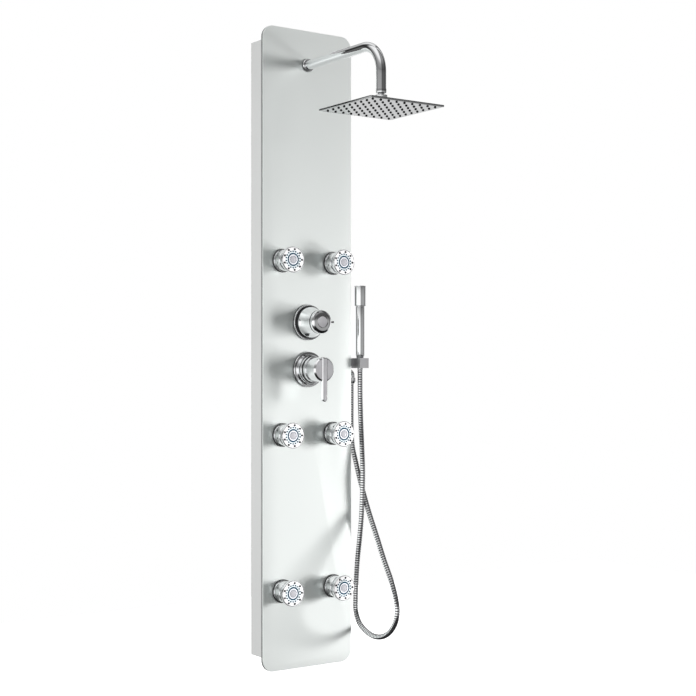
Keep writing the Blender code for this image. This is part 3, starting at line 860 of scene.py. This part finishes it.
verts, faces = stacked(
    [
        (190.0, 190.0, 2.0, HEAD_TOP - 0.4),
        (190.0, 190.0, 2.0, HEAD_LOW + 0.25),
        (190.5, 190.5, 2.2, HEAD_LOW),
        (196.4, 196.4, 3.0, HEAD_LOW),
        (197.4, 197.4, 3.3, HEAD_LOW + 0.3),
        (198.0, 198.0, 3.6, HEAD_LOW + 1.0),
        (198.0, 198.0, 3.6, HEAD_TOP - 1.0),
        (197.4, 197.4, 3.3, HEAD_TOP - 0.3),
        (196.4, 196.4, 3.0, HEAD_TOP),
        (150.0, 150.0, 6.0, HEAD_TOP + 1.6),
        (100.0, 100.0, 9.0, HEAD_TOP + 3.3),
        (60.0, 60.0, 10.0, HEAD_TOP + 4.3),
        (48.0, 48.0, 12.0, HEAD_TOP + 4.6),
    ],
    6,
    head_at,
)
shell = build("head_pan", verts, faces, [HEAD_METAL])
m = shell.modifiers.new("join", "BOOLEAN")
boss = turned(
    "boss",
    fillet([(0, 0), (14.0, 0, 0), (14.0, 5.2, 0.8), (12.5, 6.2, 0.4), (0, 6.2)]),
    head_at(0, 0, HEAD_TOP + 2.5),
    "up",
    CHROME,
    64,
)
m.operation, m.solver, m.object = "UNION", "EXACT", boss
# The bore tool carries the dark recess chrome: painted shade.
bore = turned("bore", [(0, 0), (5.0, 0), (5.0, 22), (0, 22)], head_at(0, 0, HEAD_TOP - 2), "up", CHROME_RECESS_SHADE, 32)
carve(shell, bore)
bpy.data.objects.remove(boss, do_unlink=True)
put(shell, "rain_head", "head_steel", "rain_head_shell")

# Face plate: a grid of cells, each with a round hole for its nozzle.
N, PITCH, HOLE = 9, 21.0, 3.3
SEG = 24


def plate_cells(low, high):
    verts, faces = [], []

    def ring(cx, cy, z, kind):
        ids = []
        for k in range(SEG):
            t = math.tau * (k + 0.5) / SEG
            c, s = math.cos(t), math.sin(t)
            if kind == "hole":
                x, y = cx + HOLE * c, cy + HOLE * s
            elif kind == "lip":
                x, y = cx + (HOLE + 0.35) * c, cy + (HOLE + 0.35) * s
            else:
                q = PITCH / 2 / max(abs(c), abs(s))
                x, y = cx + q * c, cy + q * s
            ids.append(len(verts))
            verts.append(head_at(x, y, z))
        return ids

    def band(a, b):
        for k in range(SEG):
            j = (k + 1) % SEG
            faces.append((a[k], a[j], b[j], b[k]))

    for i in range(N):
        for j in range(N):
            cx, cy = (i - (N - 1) / 2) * PITCH, (j - (N - 1) / 2) * PITCH
            square_low, square_top = ring(cx, cy, low, "square"), ring(cx, cy, high, "square")
            lip = ring(cx, cy, low, "lip")
            hole_low, hole_top = ring(cx, cy, low + 0.3, "hole"), ring(cx, cy, high, "hole")
            # corner points close the square's four corners
            for z, flip in ((low, False), (high, True)):
                rowv = square_low if z == low else square_top
                for q in range(4):
                    t = math.pi / 4 + q * math.pi / 2
                    ids = [k for k in range(SEG)]
                    # nearest two ring points either side of the corner
                    k0 = int(math.floor((t / math.tau) * SEG - 0.5)) % SEG
                    k1 = (k0 + 1) % SEG
                    cv = len(verts)
                    verts.append(
                        head_at(cx + math.copysign(PITCH / 2, math.cos(t)), cy + math.copysign(PITCH / 2, math.sin(t)), z)
                    )
                    faces.append((rowv[k0], rowv[k1], cv))
            band(square_low, lip)
            band(lip, hole_low)
            band(hole_low, hole_top)
            band(hole_top, square_top)
    return verts, faces


verts, faces = plate_cells(HEAD_LOW, HEAD_LOW + 1.2)
bm = bmesh.new()
vs = [bm.verts.new(v) for v in verts]
for f in faces:
    try:
        bm.faces.new([vs[k] for k in f])
    except ValueError:
        pass
bmesh.ops.remove_doubles(bm, verts=bm.verts, dist=2e-6)
edges = [e for e in bm.edges if len(e.link_faces) == 1]
low_edges = [e for e in edges if all(v.co.z < (HEAD_LOW + 0.6) * MM for v in e.verts)]
made = bmesh.ops.extrude_edge_only(bm, edges=low_edges)
walls = [g for g in made["geom"] if isinstance(g, bmesh.types.BMVert)]
for v in walls:
    v.co.z = (HEAD_LOW + 1.2) * MM
bmesh.ops.remove_doubles(bm, verts=bm.verts, dist=2e-6)
bmesh.ops.recalc_face_normals(bm, faces=bm.faces)
mesh = bpy.data.meshes.new("head_plate")
bm.to_mesh(mesh)
bm.free()
mesh.materials.append(HEAD_METAL)
mesh.shade_smooth()
mesh.set_sharp_from_angle(angle=math.radians(32))
o = bpy.data.objects.new("head_plate", mesh)
bpy.context.scene.collection.objects.link(o)
put(o, "rain_head", "head_steel", "rain_head_face_plate")

# Nozzle mat: one sheet of silicone with a soft tapered nozzle in each hole.
parts = []
sheet_v, sheet_f = stacked(
    [
        (186.0, 186.0, 2.0, HEAD_LOW + 1.3),
        (188.0, 188.0, 2.4, HEAD_LOW + 1.6),
        (188.0, 188.0, 2.4, HEAD_TOP - 1.0),
        (186.0, 186.0, 2.0, HEAD_TOP - 0.8),
    ],
    3,
    lambda x, y, z: (x, y, z),
)
parts.append((sheet_v, sheet_f, [0] * len(sheet_f)))
nub = lathe(
    fillet(
        [(0, 0.4), (0.9, 0.4, 0.1), (0.9, -0.9, 0.1), (1.05, -2.2, 0.2), (2.1, -2.2, 0.4), (2.95, 1.3, 0.3), (2.95, 2.6, 0), (0, 2.6)],
        n=2,
    ),
    14,
    False,
    zones=lambda r, h: 0,
)
for i in range(N):
    for j in range(N):
        cx, cy = (i - (N - 1) / 2) * PITCH, (j - (N - 1) / 2) * PITCH
        parts.append(moved(nub, lambda p, cx=cx, cy=cy: (p[0] + cx, p[1] + cy, p[2] + HEAD_LOW)))
o = merged(
    "head_nozzles",
    [(list(map(lambda p: (p[0], p[1], p[2]), v)), f, i) for v, f, i in parts],
    [RUBBER],
)
o.location = Vector((0, FACE - arm_out * MM, 0))
put(o, "rain_head", "silicone", "rain_head_nozzle_mat")

# ---------------------------------------------------------------- diverter
dz = mid("diverter_escutcheon").z / MM
div = P(0, 0, dz)


def beads(r, h, t):
    if h > 4.9 and 37.9 < r < 41.6:
        h += 0.55 * math.cos(56 * t) - 0.35
    return r, h


put(
    turned(
        "diverter_rose",
        fillet(
            [
                (23.4, 0.3, 0.1),
                (42.0, 0.3, 0.2),
                (42.0, 3.6, 0.6),
                (41.5, 4.7, 0.2),
                (40.9, 5.1, 0),
                (40.2, 5.7, 0),
                (39.4, 5.9, 0),
                (38.6, 5.7, 0),
                (38.0, 5.2, 0),
                (37.3, 5.2, 0.1),
                (37.2, 9.4, 0.5),
                (36.4, 10.4, 0.3),
                (35.5, 10.4, 0),
                (23.4, 10.4, 0.1),
            ],
            closed=True,
        ),
        div,
        "out",
        [CHROME, PAINTED_SHADE_BLACK_STEEL],
        336,
        closed=True,
        # Slot 1 paints shade on the rose's outer side wall and in the groove inside its beads.
        zones=lambda r, h: 1 if (r > 41.6 and h < 3.6) or (35.6 < r < 37.9 and h > 5.0) else 0,
        wave=beads,
    ),
    "panel",
    "chrome",
    "diverter_escutcheon",
)
KNOB_Y = mid("diverter_knob").y
put(
    turned(
        "diverter_bell",
        fillet(
            [
                (0, 41.5),
                (4.9, 41.5, 0.2),
                (4.9, 24.0, 0.3),
                (21.0, 24.0, 1.5),
                (31.0, 14.0, 1.0),
                (31.0, 11.6, 0.2),
                (35.3, 11.6, 0.3),
                (36.0, 12.2, 0.2),
                (36.0, 12.6, 0.4),
                (35.7, 15.0, 1.5),
                (33.6, 19.4, 4.0),
                (31.2, 26.0, 8.0),
                (29.3, 33.0, 8.0),
                (28.1, 40.0, 8.0),
                (27.6, 46.6, 0.6),
                (26.5, 48.4, 0.7),
                (27.6, 50.2, 0.6),
                (27.6, 56.6, 1.2),
                (26.4, 58.6, 1.5),
                (21.5, 61.6, 6.0),
                (14.6, 63.0, 0.8),
                (12.8, 62.0, 1.2),
                (8.0, 61.2, 3.0),
                (0, 61.0),
            ],
            n=4,
        ),
        div,
        "out",
        [CHROME, PAINTED_SHADE_BLACK_STEEL, FACE_DISC],
        128,
        # Slot 1 paints shade on the bell's foot ring and in the groove round its side; slot 2 is the brushed face.
        zones=lambda r, h: 1 if (r > 34.5 and h < 13.4) or (26.4 < r < 27.4 and 47.2 < h < 49.8) else (2 if r < 12.6 and h > 60 else 0),
    ),
    "diverter_knob",
    "chrome",
    "diverter_knob",
)
put(
    turned(
        "diverter_pin",
        fillet([(0, 22.0), (2.2, 22.0, 0), (2.2, 30.4, 0.1), (1.7, 31.0, 0.2), (2.3, 31.6, 0.1), (2.3, 34.2, 0.7), (0, 34.2)], n=3),
        P(0, 56.5, dz),
        "right",
        [CHROME, PAINTED_SHADE_BLACK_STEEL],
        28,
        # Slot 1 makes the pin's tip near-black.
        zones=lambda r, h: 1 if h > 30.3 else 0,
    ),
    "diverter_knob",
    "chrome",
)


def grub(name, centre, axis, body, radius=1.7, tilt=None):
    """A set screw in its hole: a dark ring with a hexagonal socket."""

    def hexed(r, h, t):
        if r < radius * 0.62 and h < 0.2:
            k = math.cos(math.pi / 6) / math.cos((t + math.pi / 6) % (math.pi / 3) - math.pi / 6)
            return r * k * 1.05, h
        return r, h

    o = turned(
        name,
        [
            (0, -0.9),
            (radius * 0.55, -0.9),
            (radius * 0.6, 0.1),
            (radius * 0.75, 0.25),
            (radius, 0.2),
            (radius, -1.6),
            (0, -1.6),
        ],
        centre,
        axis,
        [PAINTED_SHADE_BLACK_STEEL],
        24,
        wave=hexed,
    )
    if tilt is not None:
        o.rotation_euler = tilt
    return put(o, body, "chrome")


grub("diverter_grub", P(-27.5, 55.4, dz), "left", "diverter_knob", 1.6)

# ------------------------------------------------------------------- mixer
mz = mid("mixer_escutcheon").z / MM
mix = P(0, 0, mz)
put(
    turned(
        "mixer_rose",
        fillet(
            [
                (23.4, 0.3, 0.1),
                (42.0, 0.3, 0.2),
                (42.0, 3.4, 0.7),
                (41.0, 4.9, 0.6),
                (36.4, 5.2, 0.4),
                (35.0, 6.2, 0.5),
                (34.7, 11.0, 0.5),
                (34.0, 11.6, 0.3),
                (32.2, 11.8, 0.2),
                (31.6, 12.6, 0.3),
                (31.6, 14.6, 0.3),
                (33.0, 15.6, 0.6),
                (32.7, 20.7, 0.6),
                (32.0, 21.4, 0.3),
                (30.2, 21.6, 0.2),
                (29.4, 22.4, 0.3),
                (29.4, 24.2, 0.3),
                (30.9, 25.4, 0.5),
                (30.7, 32.4, 0.5),
                (30.2, 33.0, 0.3),
                (20.0, 33.0, 0.1),
                (20.0, 18.0, 0.1),
                (23.4, 14.0, 0.1),
            ],
            closed=True,
        ),
        mix,
        "out",
        [CHROME, PAINTED_SHADE_BLACK_STEEL],
        112,
        closed=True,
        # Slot 1 paints shade on the rose's outer side wall and in the two grooves between its rings.
        zones=lambda r, h: 1 if (r > 41.6 and h < 3.4) or (29.0 < r < 32.3 and (11.7 < h < 15.0 or 21.5 < h < 24.8)) else 0,
    ),
    "panel",
    "chrome",
    "mixer_escutcheon",
)
drum = turned(
    "mixer_drum",
    fillet(
        [
            (0, 58.6),
            (4.9, 58.6, 0.1),
            (4.9, 52.0, 0.1),
            (24.0, 52.0, 0.3),
            (24.0, 33.6, 0.1),
            (27.6, 33.6, 0.3),
            (28.5, 34.6, 0.5),
            (28.5, 66.8, 0.5),
            (25.3, 70.8, 0.5),
            (24.8, 70.9, 0.2),
            (24.4, 70.6, 0.1),
            (0, 70.6),
        ],
        n=4,
    ),
    mix,
    "out",
    [CHROME, FACE_DISC],
    128,
    zones=lambda r, h: 1 if h > 70.5 and r < 24.5 else 0,
)
slot_v, slot_f = stacked(
    [(14.6, 80.0, 0.3, 62.7), (14.6, 80.0, 0.3, 82.0)], 1, lambda x, y, d: P(x, d, mz + y)
)
# The slot tool carries the dark recess chrome: painted shade.
carve(drum, build("slot", slot_v, slot_f, [CHROME_RECESS_SHADE]))
put(drum, "mixer_handle", "chrome", "mixer_handle_collar")


def lever_outline(inset, steps=14):
    half = 7.0 - inset
    pts = [(half, 27.4 - inset), (-half, 27.4 - inset)]
    for i in range(steps + 1):
        t = math.pi + math.pi * i / steps
        pts.append((half * math.cos(t), -68.0 + half * math.sin(t)))
    return pts


verts, faces, rows = [], [], []
for inset, depth in (
    (0.9, 63.0),
    (0.25, 63.15),
    (0.0, 63.8),
    (0.0, 69.6),
    (0.3, 70.6),
    (1.9, 71.9),
    (2.3, 72.0),
):
    row = []
    for x, z in lever_outline(inset):
        row.append(len(verts))
        verts.append(P(x, depth, mz + z))
    rows.append(row)
for a, b in zip(rows, rows[1:]):
    for k in range(len(a)):
        j = (k + 1) % len(a)
        faces.append((a[k], a[j], b[j], b[k]))
faces.append(tuple(rows[0]))
faces.append(tuple(rows[-1]))
index = []
for f in faces:
    ys = [(FACE - verts[k].y) / MM for k in f]
    index.append(1 if min(ys) > 71.9 else 0)
lever = build("mixer_bar", verts, faces, [CHROME, LEVER_FACE], index, smooth=25)
put(lever, "mixer_handle", "chrome", "mixer_lever")

# -------------------------------------------------------------- body jets
BODY = fillet(
    [
        (27.5, 0.3, 0.2),
        (27.5, 3.2, 0.7),
        (26.6, 4.7, 0.6),
        (25.2, 5.0, 0.3),
        (25.0, 6.0, 0.2),
        (25.0, 8.2, 0.1),
        (24.5, 8.5, 0.1),
        (24.5, 9.1, 0.1),
        (25.0, 9.4, 0.1),
        (25.0, 25.4, 0.9),
        (23.8, 27.0, 0.7),
        (15.0, 27.0, 0.2),
        (16.5, 20.0, 1.0),
        (14.4, 12.0, 1.0),
        (11.3, 8.0, 0.5),
        (6.0, 8.0, 0.3),
        (6.0, -20.0, 0.3),
        (10.0, -20.0, 0.3),
        (10.0, 0.3, 0.1),
    ],
    closed=True,
)
DISC = fillet(
    [
        (0, 9.6),
        (8.0, 9.6, 0.5),
        (11.4, 13.4, 2.0),
        (13.2, 20.0, 4.0),
        (11.4, 26.6, 2.0),
        (9.5, 29.0, 0.5),
        (9.5, 35.6, 1.0),
        (21.0, 39.0, 1.0),
        (28.8, 39.0, 0.4),
        (30.0, 40.2, 0.6),
        (30.0, 45.6, 0.8),
        (29.4, 46.8, 0.3),
        (29.0, 46.1, 0.1),
        (28.2, 46.1, 0.1),
        (27.9, 46.6, 0.2),
        (15.4, 46.5, 0.2),
        (14.6, 46.1, 0.1),
        (12.4, 46.1, 0.1),
        (11.8, 46.6, 0.3),
        (9.2, 46.8, 0.2),
        (8.6, 46.2, 0.1),
        (8.2, 46.2, 0.1),
        (7.8, 46.6, 0.3),
        (4.0, 46.95, 1.0),
        (0, 47.0),
    ]
)


def disc_zone(r, h):
    if h < 36.0:
        # Slot 4 paints shade on the neck between cup and disc.
        return 4 if h > 27.5 else 0
    if h < 45.5:
        return 0
    if 28.1 < r < 29.2 and h < 46.5:
        return 0
    if 11.9 < r < 15.3 and h < 46.58:
        return 2
    if r < 8.0 and h > 46.0:
        return 3
    if 8.0 < r < 8.8 and h < 46.5:
        return 2
    return 1 if r < 28.2 else 0


nozzle = fillet([(0, 46.2), (0.5, 46.2, 0), (0.55, 47.4, 0.1), (2.4, 47.4, 0.35), (2.7, 45.9, 0), (0, 45.9)], n=2)
bodies_seen = {}
for row in ROWS:
    for side, sx in SIDES:
        name = f"{row}_{side}"
        c = mid(f"jet_base_{name}")
        centre = Vector((c.x, FACE, c.z))
        body = turned(
            f"jet_cup_{name}",
            BODY,
            centre,
            "out",
            [CHROME, PAINTED_SHADE_BLACK_STEEL],
            80,
            closed=True,
            # Slot 1 paints shade on the cup's outer side wall, its groove and the hollow inside it.
            zones=lambda r, h: 1 if (r > 26.2 and h < 4.4) or (r > 24.3 and 8.3 < h < 9.3) or (14.0 < r < 24.0 and 8.0 < h < 26.9) else 0,
        )
        put(body, "panel", "chrome", f"jet_base_{name}")
        disc = turned(
            f"jet_disc_{name}",
            DISC,
            centre,
            "out",
            [CHROME, JET_FACE, TEAL, JET_CENTRE, PAINTED_SHADE_BLACK_STEEL],
            96,
            zones=disc_zone,
        )
        put(disc, f"jet_{name}", "jet_face", f"jet_head_{name}")
        parts = []
        for k in range(9):
            t = math.radians(80 + 40 * k)
            v, f, i = lathe([(r, h) for r, h in nozzle], 16, False)
            parts.append(
                moved((v, f, i), lambda p, t=t: (p[0] + 24.2 * math.cos(t), -p[2], p[1] + 24.2 * math.sin(t)), 0)
            )
        for k in range(18):
            t = math.radians(90 + 20 * k)
            v, f, i = lathe([(r * 0.7, h) for r, h in nozzle], 14, False)
            parts.append(
                moved((v, f, i), lambda p, t=t: (p[0] + 19.0 * math.cos(t), -p[2], p[1] + 19.0 * math.sin(t)), 1)
            )
        put(merged(f"jet_nozzles_{name}", parts, [RUBBER, TEAL], centre), f"jet_{name}", "silicone")
        for q, (deg, a) in enumerate(((-14.0, 17.0), (26.0, 14.5))):
            t = math.radians(deg)
            o = grub(
                f"jet_grub_{q + 1}_{name}",
                Vector((c.x - 24.95 * MM * math.cos(t), FACE - a * MM, c.z + 24.95 * MM * math.sin(t))),
                "left",
                "panel",
                2.1,
                tilt=(0, t, 0),
            )

# ------------------------------------------ hand shower, outlet and nuts
wand = mid("handset_handle")
wand = Vector((wand.x, wand.y, 0))
put(
    turned(
        "wand_grip",
        fillet(
            [
                (4.5, -12.0, 0.1),
                (10.2, -12.0, 0.4),
                (11.0, -11.0, 0.5),
                (11.0, 101.6, 0.2),
                (10.5, 102.2, 0.2),
                (10.5, 103.2, 0.2),
                (11.0, 103.8, 0.2),
                (11.0, 104.7, 0.2),
                (8.2, 104.7, 0.1),
                (8.2, -6.0, 0.1),
                (4.5, -6.0, 0.1),
            ],
            closed=True,
        ),
        wand,
        "up",
        CHROME,
        80,
        closed=True,
    ),
    "handset",
    "chrome",
    "handset_handle",
)
put(
    turned(
        "wand_head",
        fillet(
            [
                (5.0, 105.0, 0.1),
                (13.2, 105.0, 0.4),
                (14.0, 106.0, 0.5),
                (14.0, 152.6, 0.7),
                (13.1, 154.0, 0.5),
                (12.0, 154.0, 0.3),
                (12.0, 108.0, 0.1),
                (5.0, 108.0, 0.1),
            ],
            closed=True,
        ),
        wand,
        "up",
        CHROME,
        80,
        closed=True,
    ),
    "handset",
    "chrome",
    "handset_head",
)
parts = [
    lathe(
        fillet([(0, 148.0), (11.7, 148.0, 0.1), (11.7, 152.2, 0.5), (10.6, 152.7, 0.3), (0, 152.9)]),
        48,
        False,
    )
]
spray = [(0, 152.6), (0.35, 152.6), (0.4, 153.35), (0.8, 153.35), (0.95, 152.4), (0, 152.4)]
for ring_r, count in ((0.0, 1), (4.6, 6), (8.6, 12)):
    for k in range(count):
        t = math.tau * k / count
        parts.append(
            moved(
                lathe(spray, 10, False),
                lambda p, r=ring_r, t=t: (p[0] + r * math.cos(t), p[1] + r * math.sin(t), p[2]),
                1,
            )
        )
put(merged("wand_face", parts, [RUBBER, NYLON], wand), "handset", "silicone", "handset_spray_face")
cone = turned(
    "cone_nut",
    fillet(
        [
            (4.4, -12.3, 0.1),
            (10.2, -12.3, 0.3),
            (11.0, -13.1, 0.4),
            (10.6, -14.6, 0.3),
            (9.2, -18.4, 2.0),
            (8.2, -20.8, 2.0),
            (7.3, -24.4, 1.0),
            (7.0, -30.0, 0),
            (7.0, -46.5, 0.1),
            (6.4, -47.1, 0.1),
            (6.4, -47.6, 0.1),
            (7.0, -48.2, 0.2),
            (7.0, -49.0, 0.3),
            (4.4, -49.0, 0.1),
        ],
        closed=True,
    ),
    wand,
    "up",
    CHROME,
    80,
    closed=True,
)
put(cone, "hose_nut", "chrome", "hose_cone_nut")

lo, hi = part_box("hose_outlet_nut")
out_c = (lo + hi) / 2
nut_top = hi.z / MM
outlet_x = out_c.x / MM
outlet_a = -(out_c.y - FACE) / MM
elbow_z = nut_top + 13.3
bend_r = 9.5
elbow = [P(112.0, outlet_a, elbow_z)]
for x in (118.0, 122.3, 122.4, 123.0, 124.9, 125.3, 125.4, 128.0):
    elbow.append(P(x, outlet_a, elbow_z))
radii = [8.6, 8.6, 8.6, 12.6, 13.0, 13.0, 12.5, 8.5, 8.4]
for i in range(15):
    t = math.pi / 2 * i / 14
    elbow.append(
        P(outlet_x - bend_r + bend_r * math.sin(t), outlet_a, elbow_z - bend_r + bend_r * math.cos(t))
    )
    radii.append(8.4)
for z in (elbow_z - 11.5, elbow_z - 13.0):
    elbow.append(P(outlet_x, outlet_a, z))
    radii.append(8.4)
put(swept("outlet_bend", elbow, radii, 48, CHROME, smooth=35), "panel", "chrome", "outlet_elbow")


def hexagon(low, high, r_min, across):
    def wave(r, h, t):
        if r > r_min and low <= h <= high:
            k = math.cos(math.pi / 6) / math.cos((t + math.pi / 6) % (math.pi / 3) - math.pi / 6)
            return min(r, across * k / math.cos(math.pi / 6)), h
        return r, h

    return wave


nut = turned(
    "outlet_nut",
    fillet(
        [
            (4.2, 0, 0.1),
            (9.4, 0, 0.3),
            (10.2, -1.0, 0.2),
            (10.2, -2.0, 0),
            (10.2, -8.2, 0),
            (10.2, -9.2, 0.3),
            (9.0, -11.0, 1.0),
            (7.8, -13.6, 0.4),
            (7.2, -14.0, 0.3),
            (4.2, -14.0, 0.1),
        ],
        closed=True,
    ),
    P(outlet_x, outlet_a, nut_top),
    "up",
    CHROME,
    216,
    closed=True,
    wave=knurl(36, 0.55, -8.2, -2.0, 9.8),
)
put(nut, "panel", "chrome", "hose_outlet_nut")

# ------------------------------------------------------- hose across joint
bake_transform(hose)

# ------------------------------------------------------------ studio light
world = bpy.data.worlds.new("studio")
bpy.context.scene.world = world
world.use_nodes = True
t = world.node_tree
t.nodes.clear()
new = t.nodes.new
co = new("ShaderNodeTexCoord")
sep = new("ShaderNodeSeparateXYZ")
t.links.new(co.outputs["Generated"], sep.inputs[0])


def wramp(value, stops, low, high):
    rng = new("ShaderNodeMapRange")
    rng.inputs["From Min"].default_value = low
    rng.inputs["From Max"].default_value = high
    t.links.new(value, rng.inputs["Value"])
    n = new("ShaderNodeValToRGB")
    e = n.color_ramp.elements
    while len(e) < len(stops):
        e.new(0.5)
    for i, (pos, v) in enumerate(stops):
        e[i].position = (pos - low) / (high - low)
        c = v if isinstance(v, tuple) else (v, v, v)
        e[i].color = (*c, 1.0)
    t.links.new(rng.outputs["Result"], n.inputs["Fac"])
    return n.outputs["Color"]


up = wramp(
    sep.outputs[2],
    [
        (-1.0, 0.02),
        (-0.62, 0.03),
        (-0.46, 0.18),
        (-0.34, 0.98),
        (-0.12, 1.12),
        (0.03, 1.12),
        (0.10, 0.94),
        (0.17, 0.40),
        (0.26, 0.20),
        (0.50, 0.34),
        (0.72, 0.85),
        (1.0, 0.95),
    ],
    -1.0,
    1.0,
)


def wdot(vec):
    n = new("ShaderNodeVectorMath")
    n.operation = "DOT_PRODUCT"
    t.links.new(co.outputs["Generated"], n.inputs[0])
    n.inputs[1].default_value = vec
    return n.outputs["Value"]


def wmath(op, a, b=None):
    n = new("ShaderNodeMath")
    n.operation = op
    for i, v in enumerate((a, b)):
        if v is None:
            continue
        if isinstance(v, (int, float)):
            n.inputs[i].default_value = v
        else:
            t.links.new(v, n.inputs[i])
    return n.outputs[0]


# Turn about the vertical, in degrees from straight out of the wall, positive
# towards +X.
turn = wmath(
    "MULTIPLY", wmath("ARCTAN2", wdot((1, 0, 0)), wdot((0, -1, 0))), 180 / math.pi
)
around = wramp(
    turn,
    [
        (-180, 0.86),
        (-156, 0.84),
        (-152, 0.10),
        (-142, 0.10),
        (-136, 0.90),
        (-100, 1.0),
        (-40, 1.0),
        (-28, 0.95),
        (-20, 0.28),
        (16, 0.31),
        (54, 0.31),
        (62, 0.09),
        (80, 0.09),
        (88, 0.80),
        (104, 0.78),
        (110, 0.10),
        (120, 0.14),
        (130, 0.70),
        (158, 0.82),
        (180, 0.86),
    ],
    -180,
    180,
)
mix_c = new("ShaderNodeMix")
mix_c.data_type = "RGBA"
mix_c.blend_type = "MULTIPLY"
mix_c.inputs["Factor"].default_value = 1.0
t.links.new(up, mix_c.inputs["A"])
t.links.new(around, mix_c.inputs["B"])
light = new("ShaderNodeBackground")
light.inputs["Strength"].default_value = 1.08
t.links.new(mix_c.outputs["Result"], light.inputs["Color"])
plain = new("ShaderNodeBackground")
plain.inputs["Color"].default_value = (1, 1, 1, 1)
plain.inputs["Strength"].default_value = 1.0
ray = new("ShaderNodeLightPath")
pick = new("ShaderNodeMixShader")
t.links.new(ray.outputs["Is Camera Ray"], pick.inputs[0])
t.links.new(light.outputs[0], pick.inputs[1])
t.links.new(plain.outputs[0], pick.inputs[2])
out = new("ShaderNodeOutputWorld")
t.links.new(pick.outputs[0], out.inputs["Surface"])


def softbox(name, place, aim, size, power):
    d = bpy.data.lights.new(name, "AREA")
    d.shape, d.size, d.size_y, d.energy = "RECTANGLE", size[0], size[1], power
    o = bpy.data.objects.new(name, d)
    o.location = place
    o.rotation_euler = (Vector(aim) - Vector(place)).to_track_quat("-Z", "Y").to_euler()
    bpy.context.scene.collection.objects.link(o)
    return o


sun_data = bpy.data.lights.new("key", "SUN")
sun_data.energy = 5.0
sun_data.angle = math.radians(16)
sun_data.color = (1.0, 0.968, 0.975)
sun = bpy.data.objects.new("key", sun_data)
sun.rotation_euler = Vector((-0.83, 0.56, -0.035)).to_track_quat("-Z", "Y").to_euler()
bpy.context.scene.collection.objects.link(sun)
sun.visible_glossy = False
low = softbox("low", (1.9, -1.35, -0.42), (0.0, -0.06, -0.33), (0.7, 0.5), 9.0)
low.data.spread = math.radians(62)
low.data.color = (1.0, 0.975, 0.98)
low.visible_glossy = False
fill = softbox("fill", (-3.2, 0.3, 0.2), (-0.12, -0.03, 0), (1.0, 1.6), 140.0)
fill.visible_glossy = False

# Pale floor well below the column.
bm = bmesh.new()
bmesh.ops.create_grid(bm, x_segments=8, y_segments=8, size=4.0)
fm = bpy.data.meshes.new("floor")
bm.to_mesh(fm)
bm.free()
floor = bpy.data.objects.new("floor", fm)
floor.location = (0, -1.0, -1.15)
k = Maker("pale_floor")
k.link(k.ramp(k.noise(2.0), [(0.3, (0.93, 0.93, 0.93)), (0.7, (0.95, 0.95, 0.95))]), k.b.inputs["Base Color"])
k.b.inputs["Roughness"].default_value = 0.8
k.b.inputs["Emission Color"].default_value = (1, 1, 1, 1)
k.b.inputs["Emission Strength"].default_value = 0.85
fm.materials.append(k.m)
floor.visible_glossy = False
floor.visible_diffuse = False
bpy.context.scene.collection.objects.link(floor)
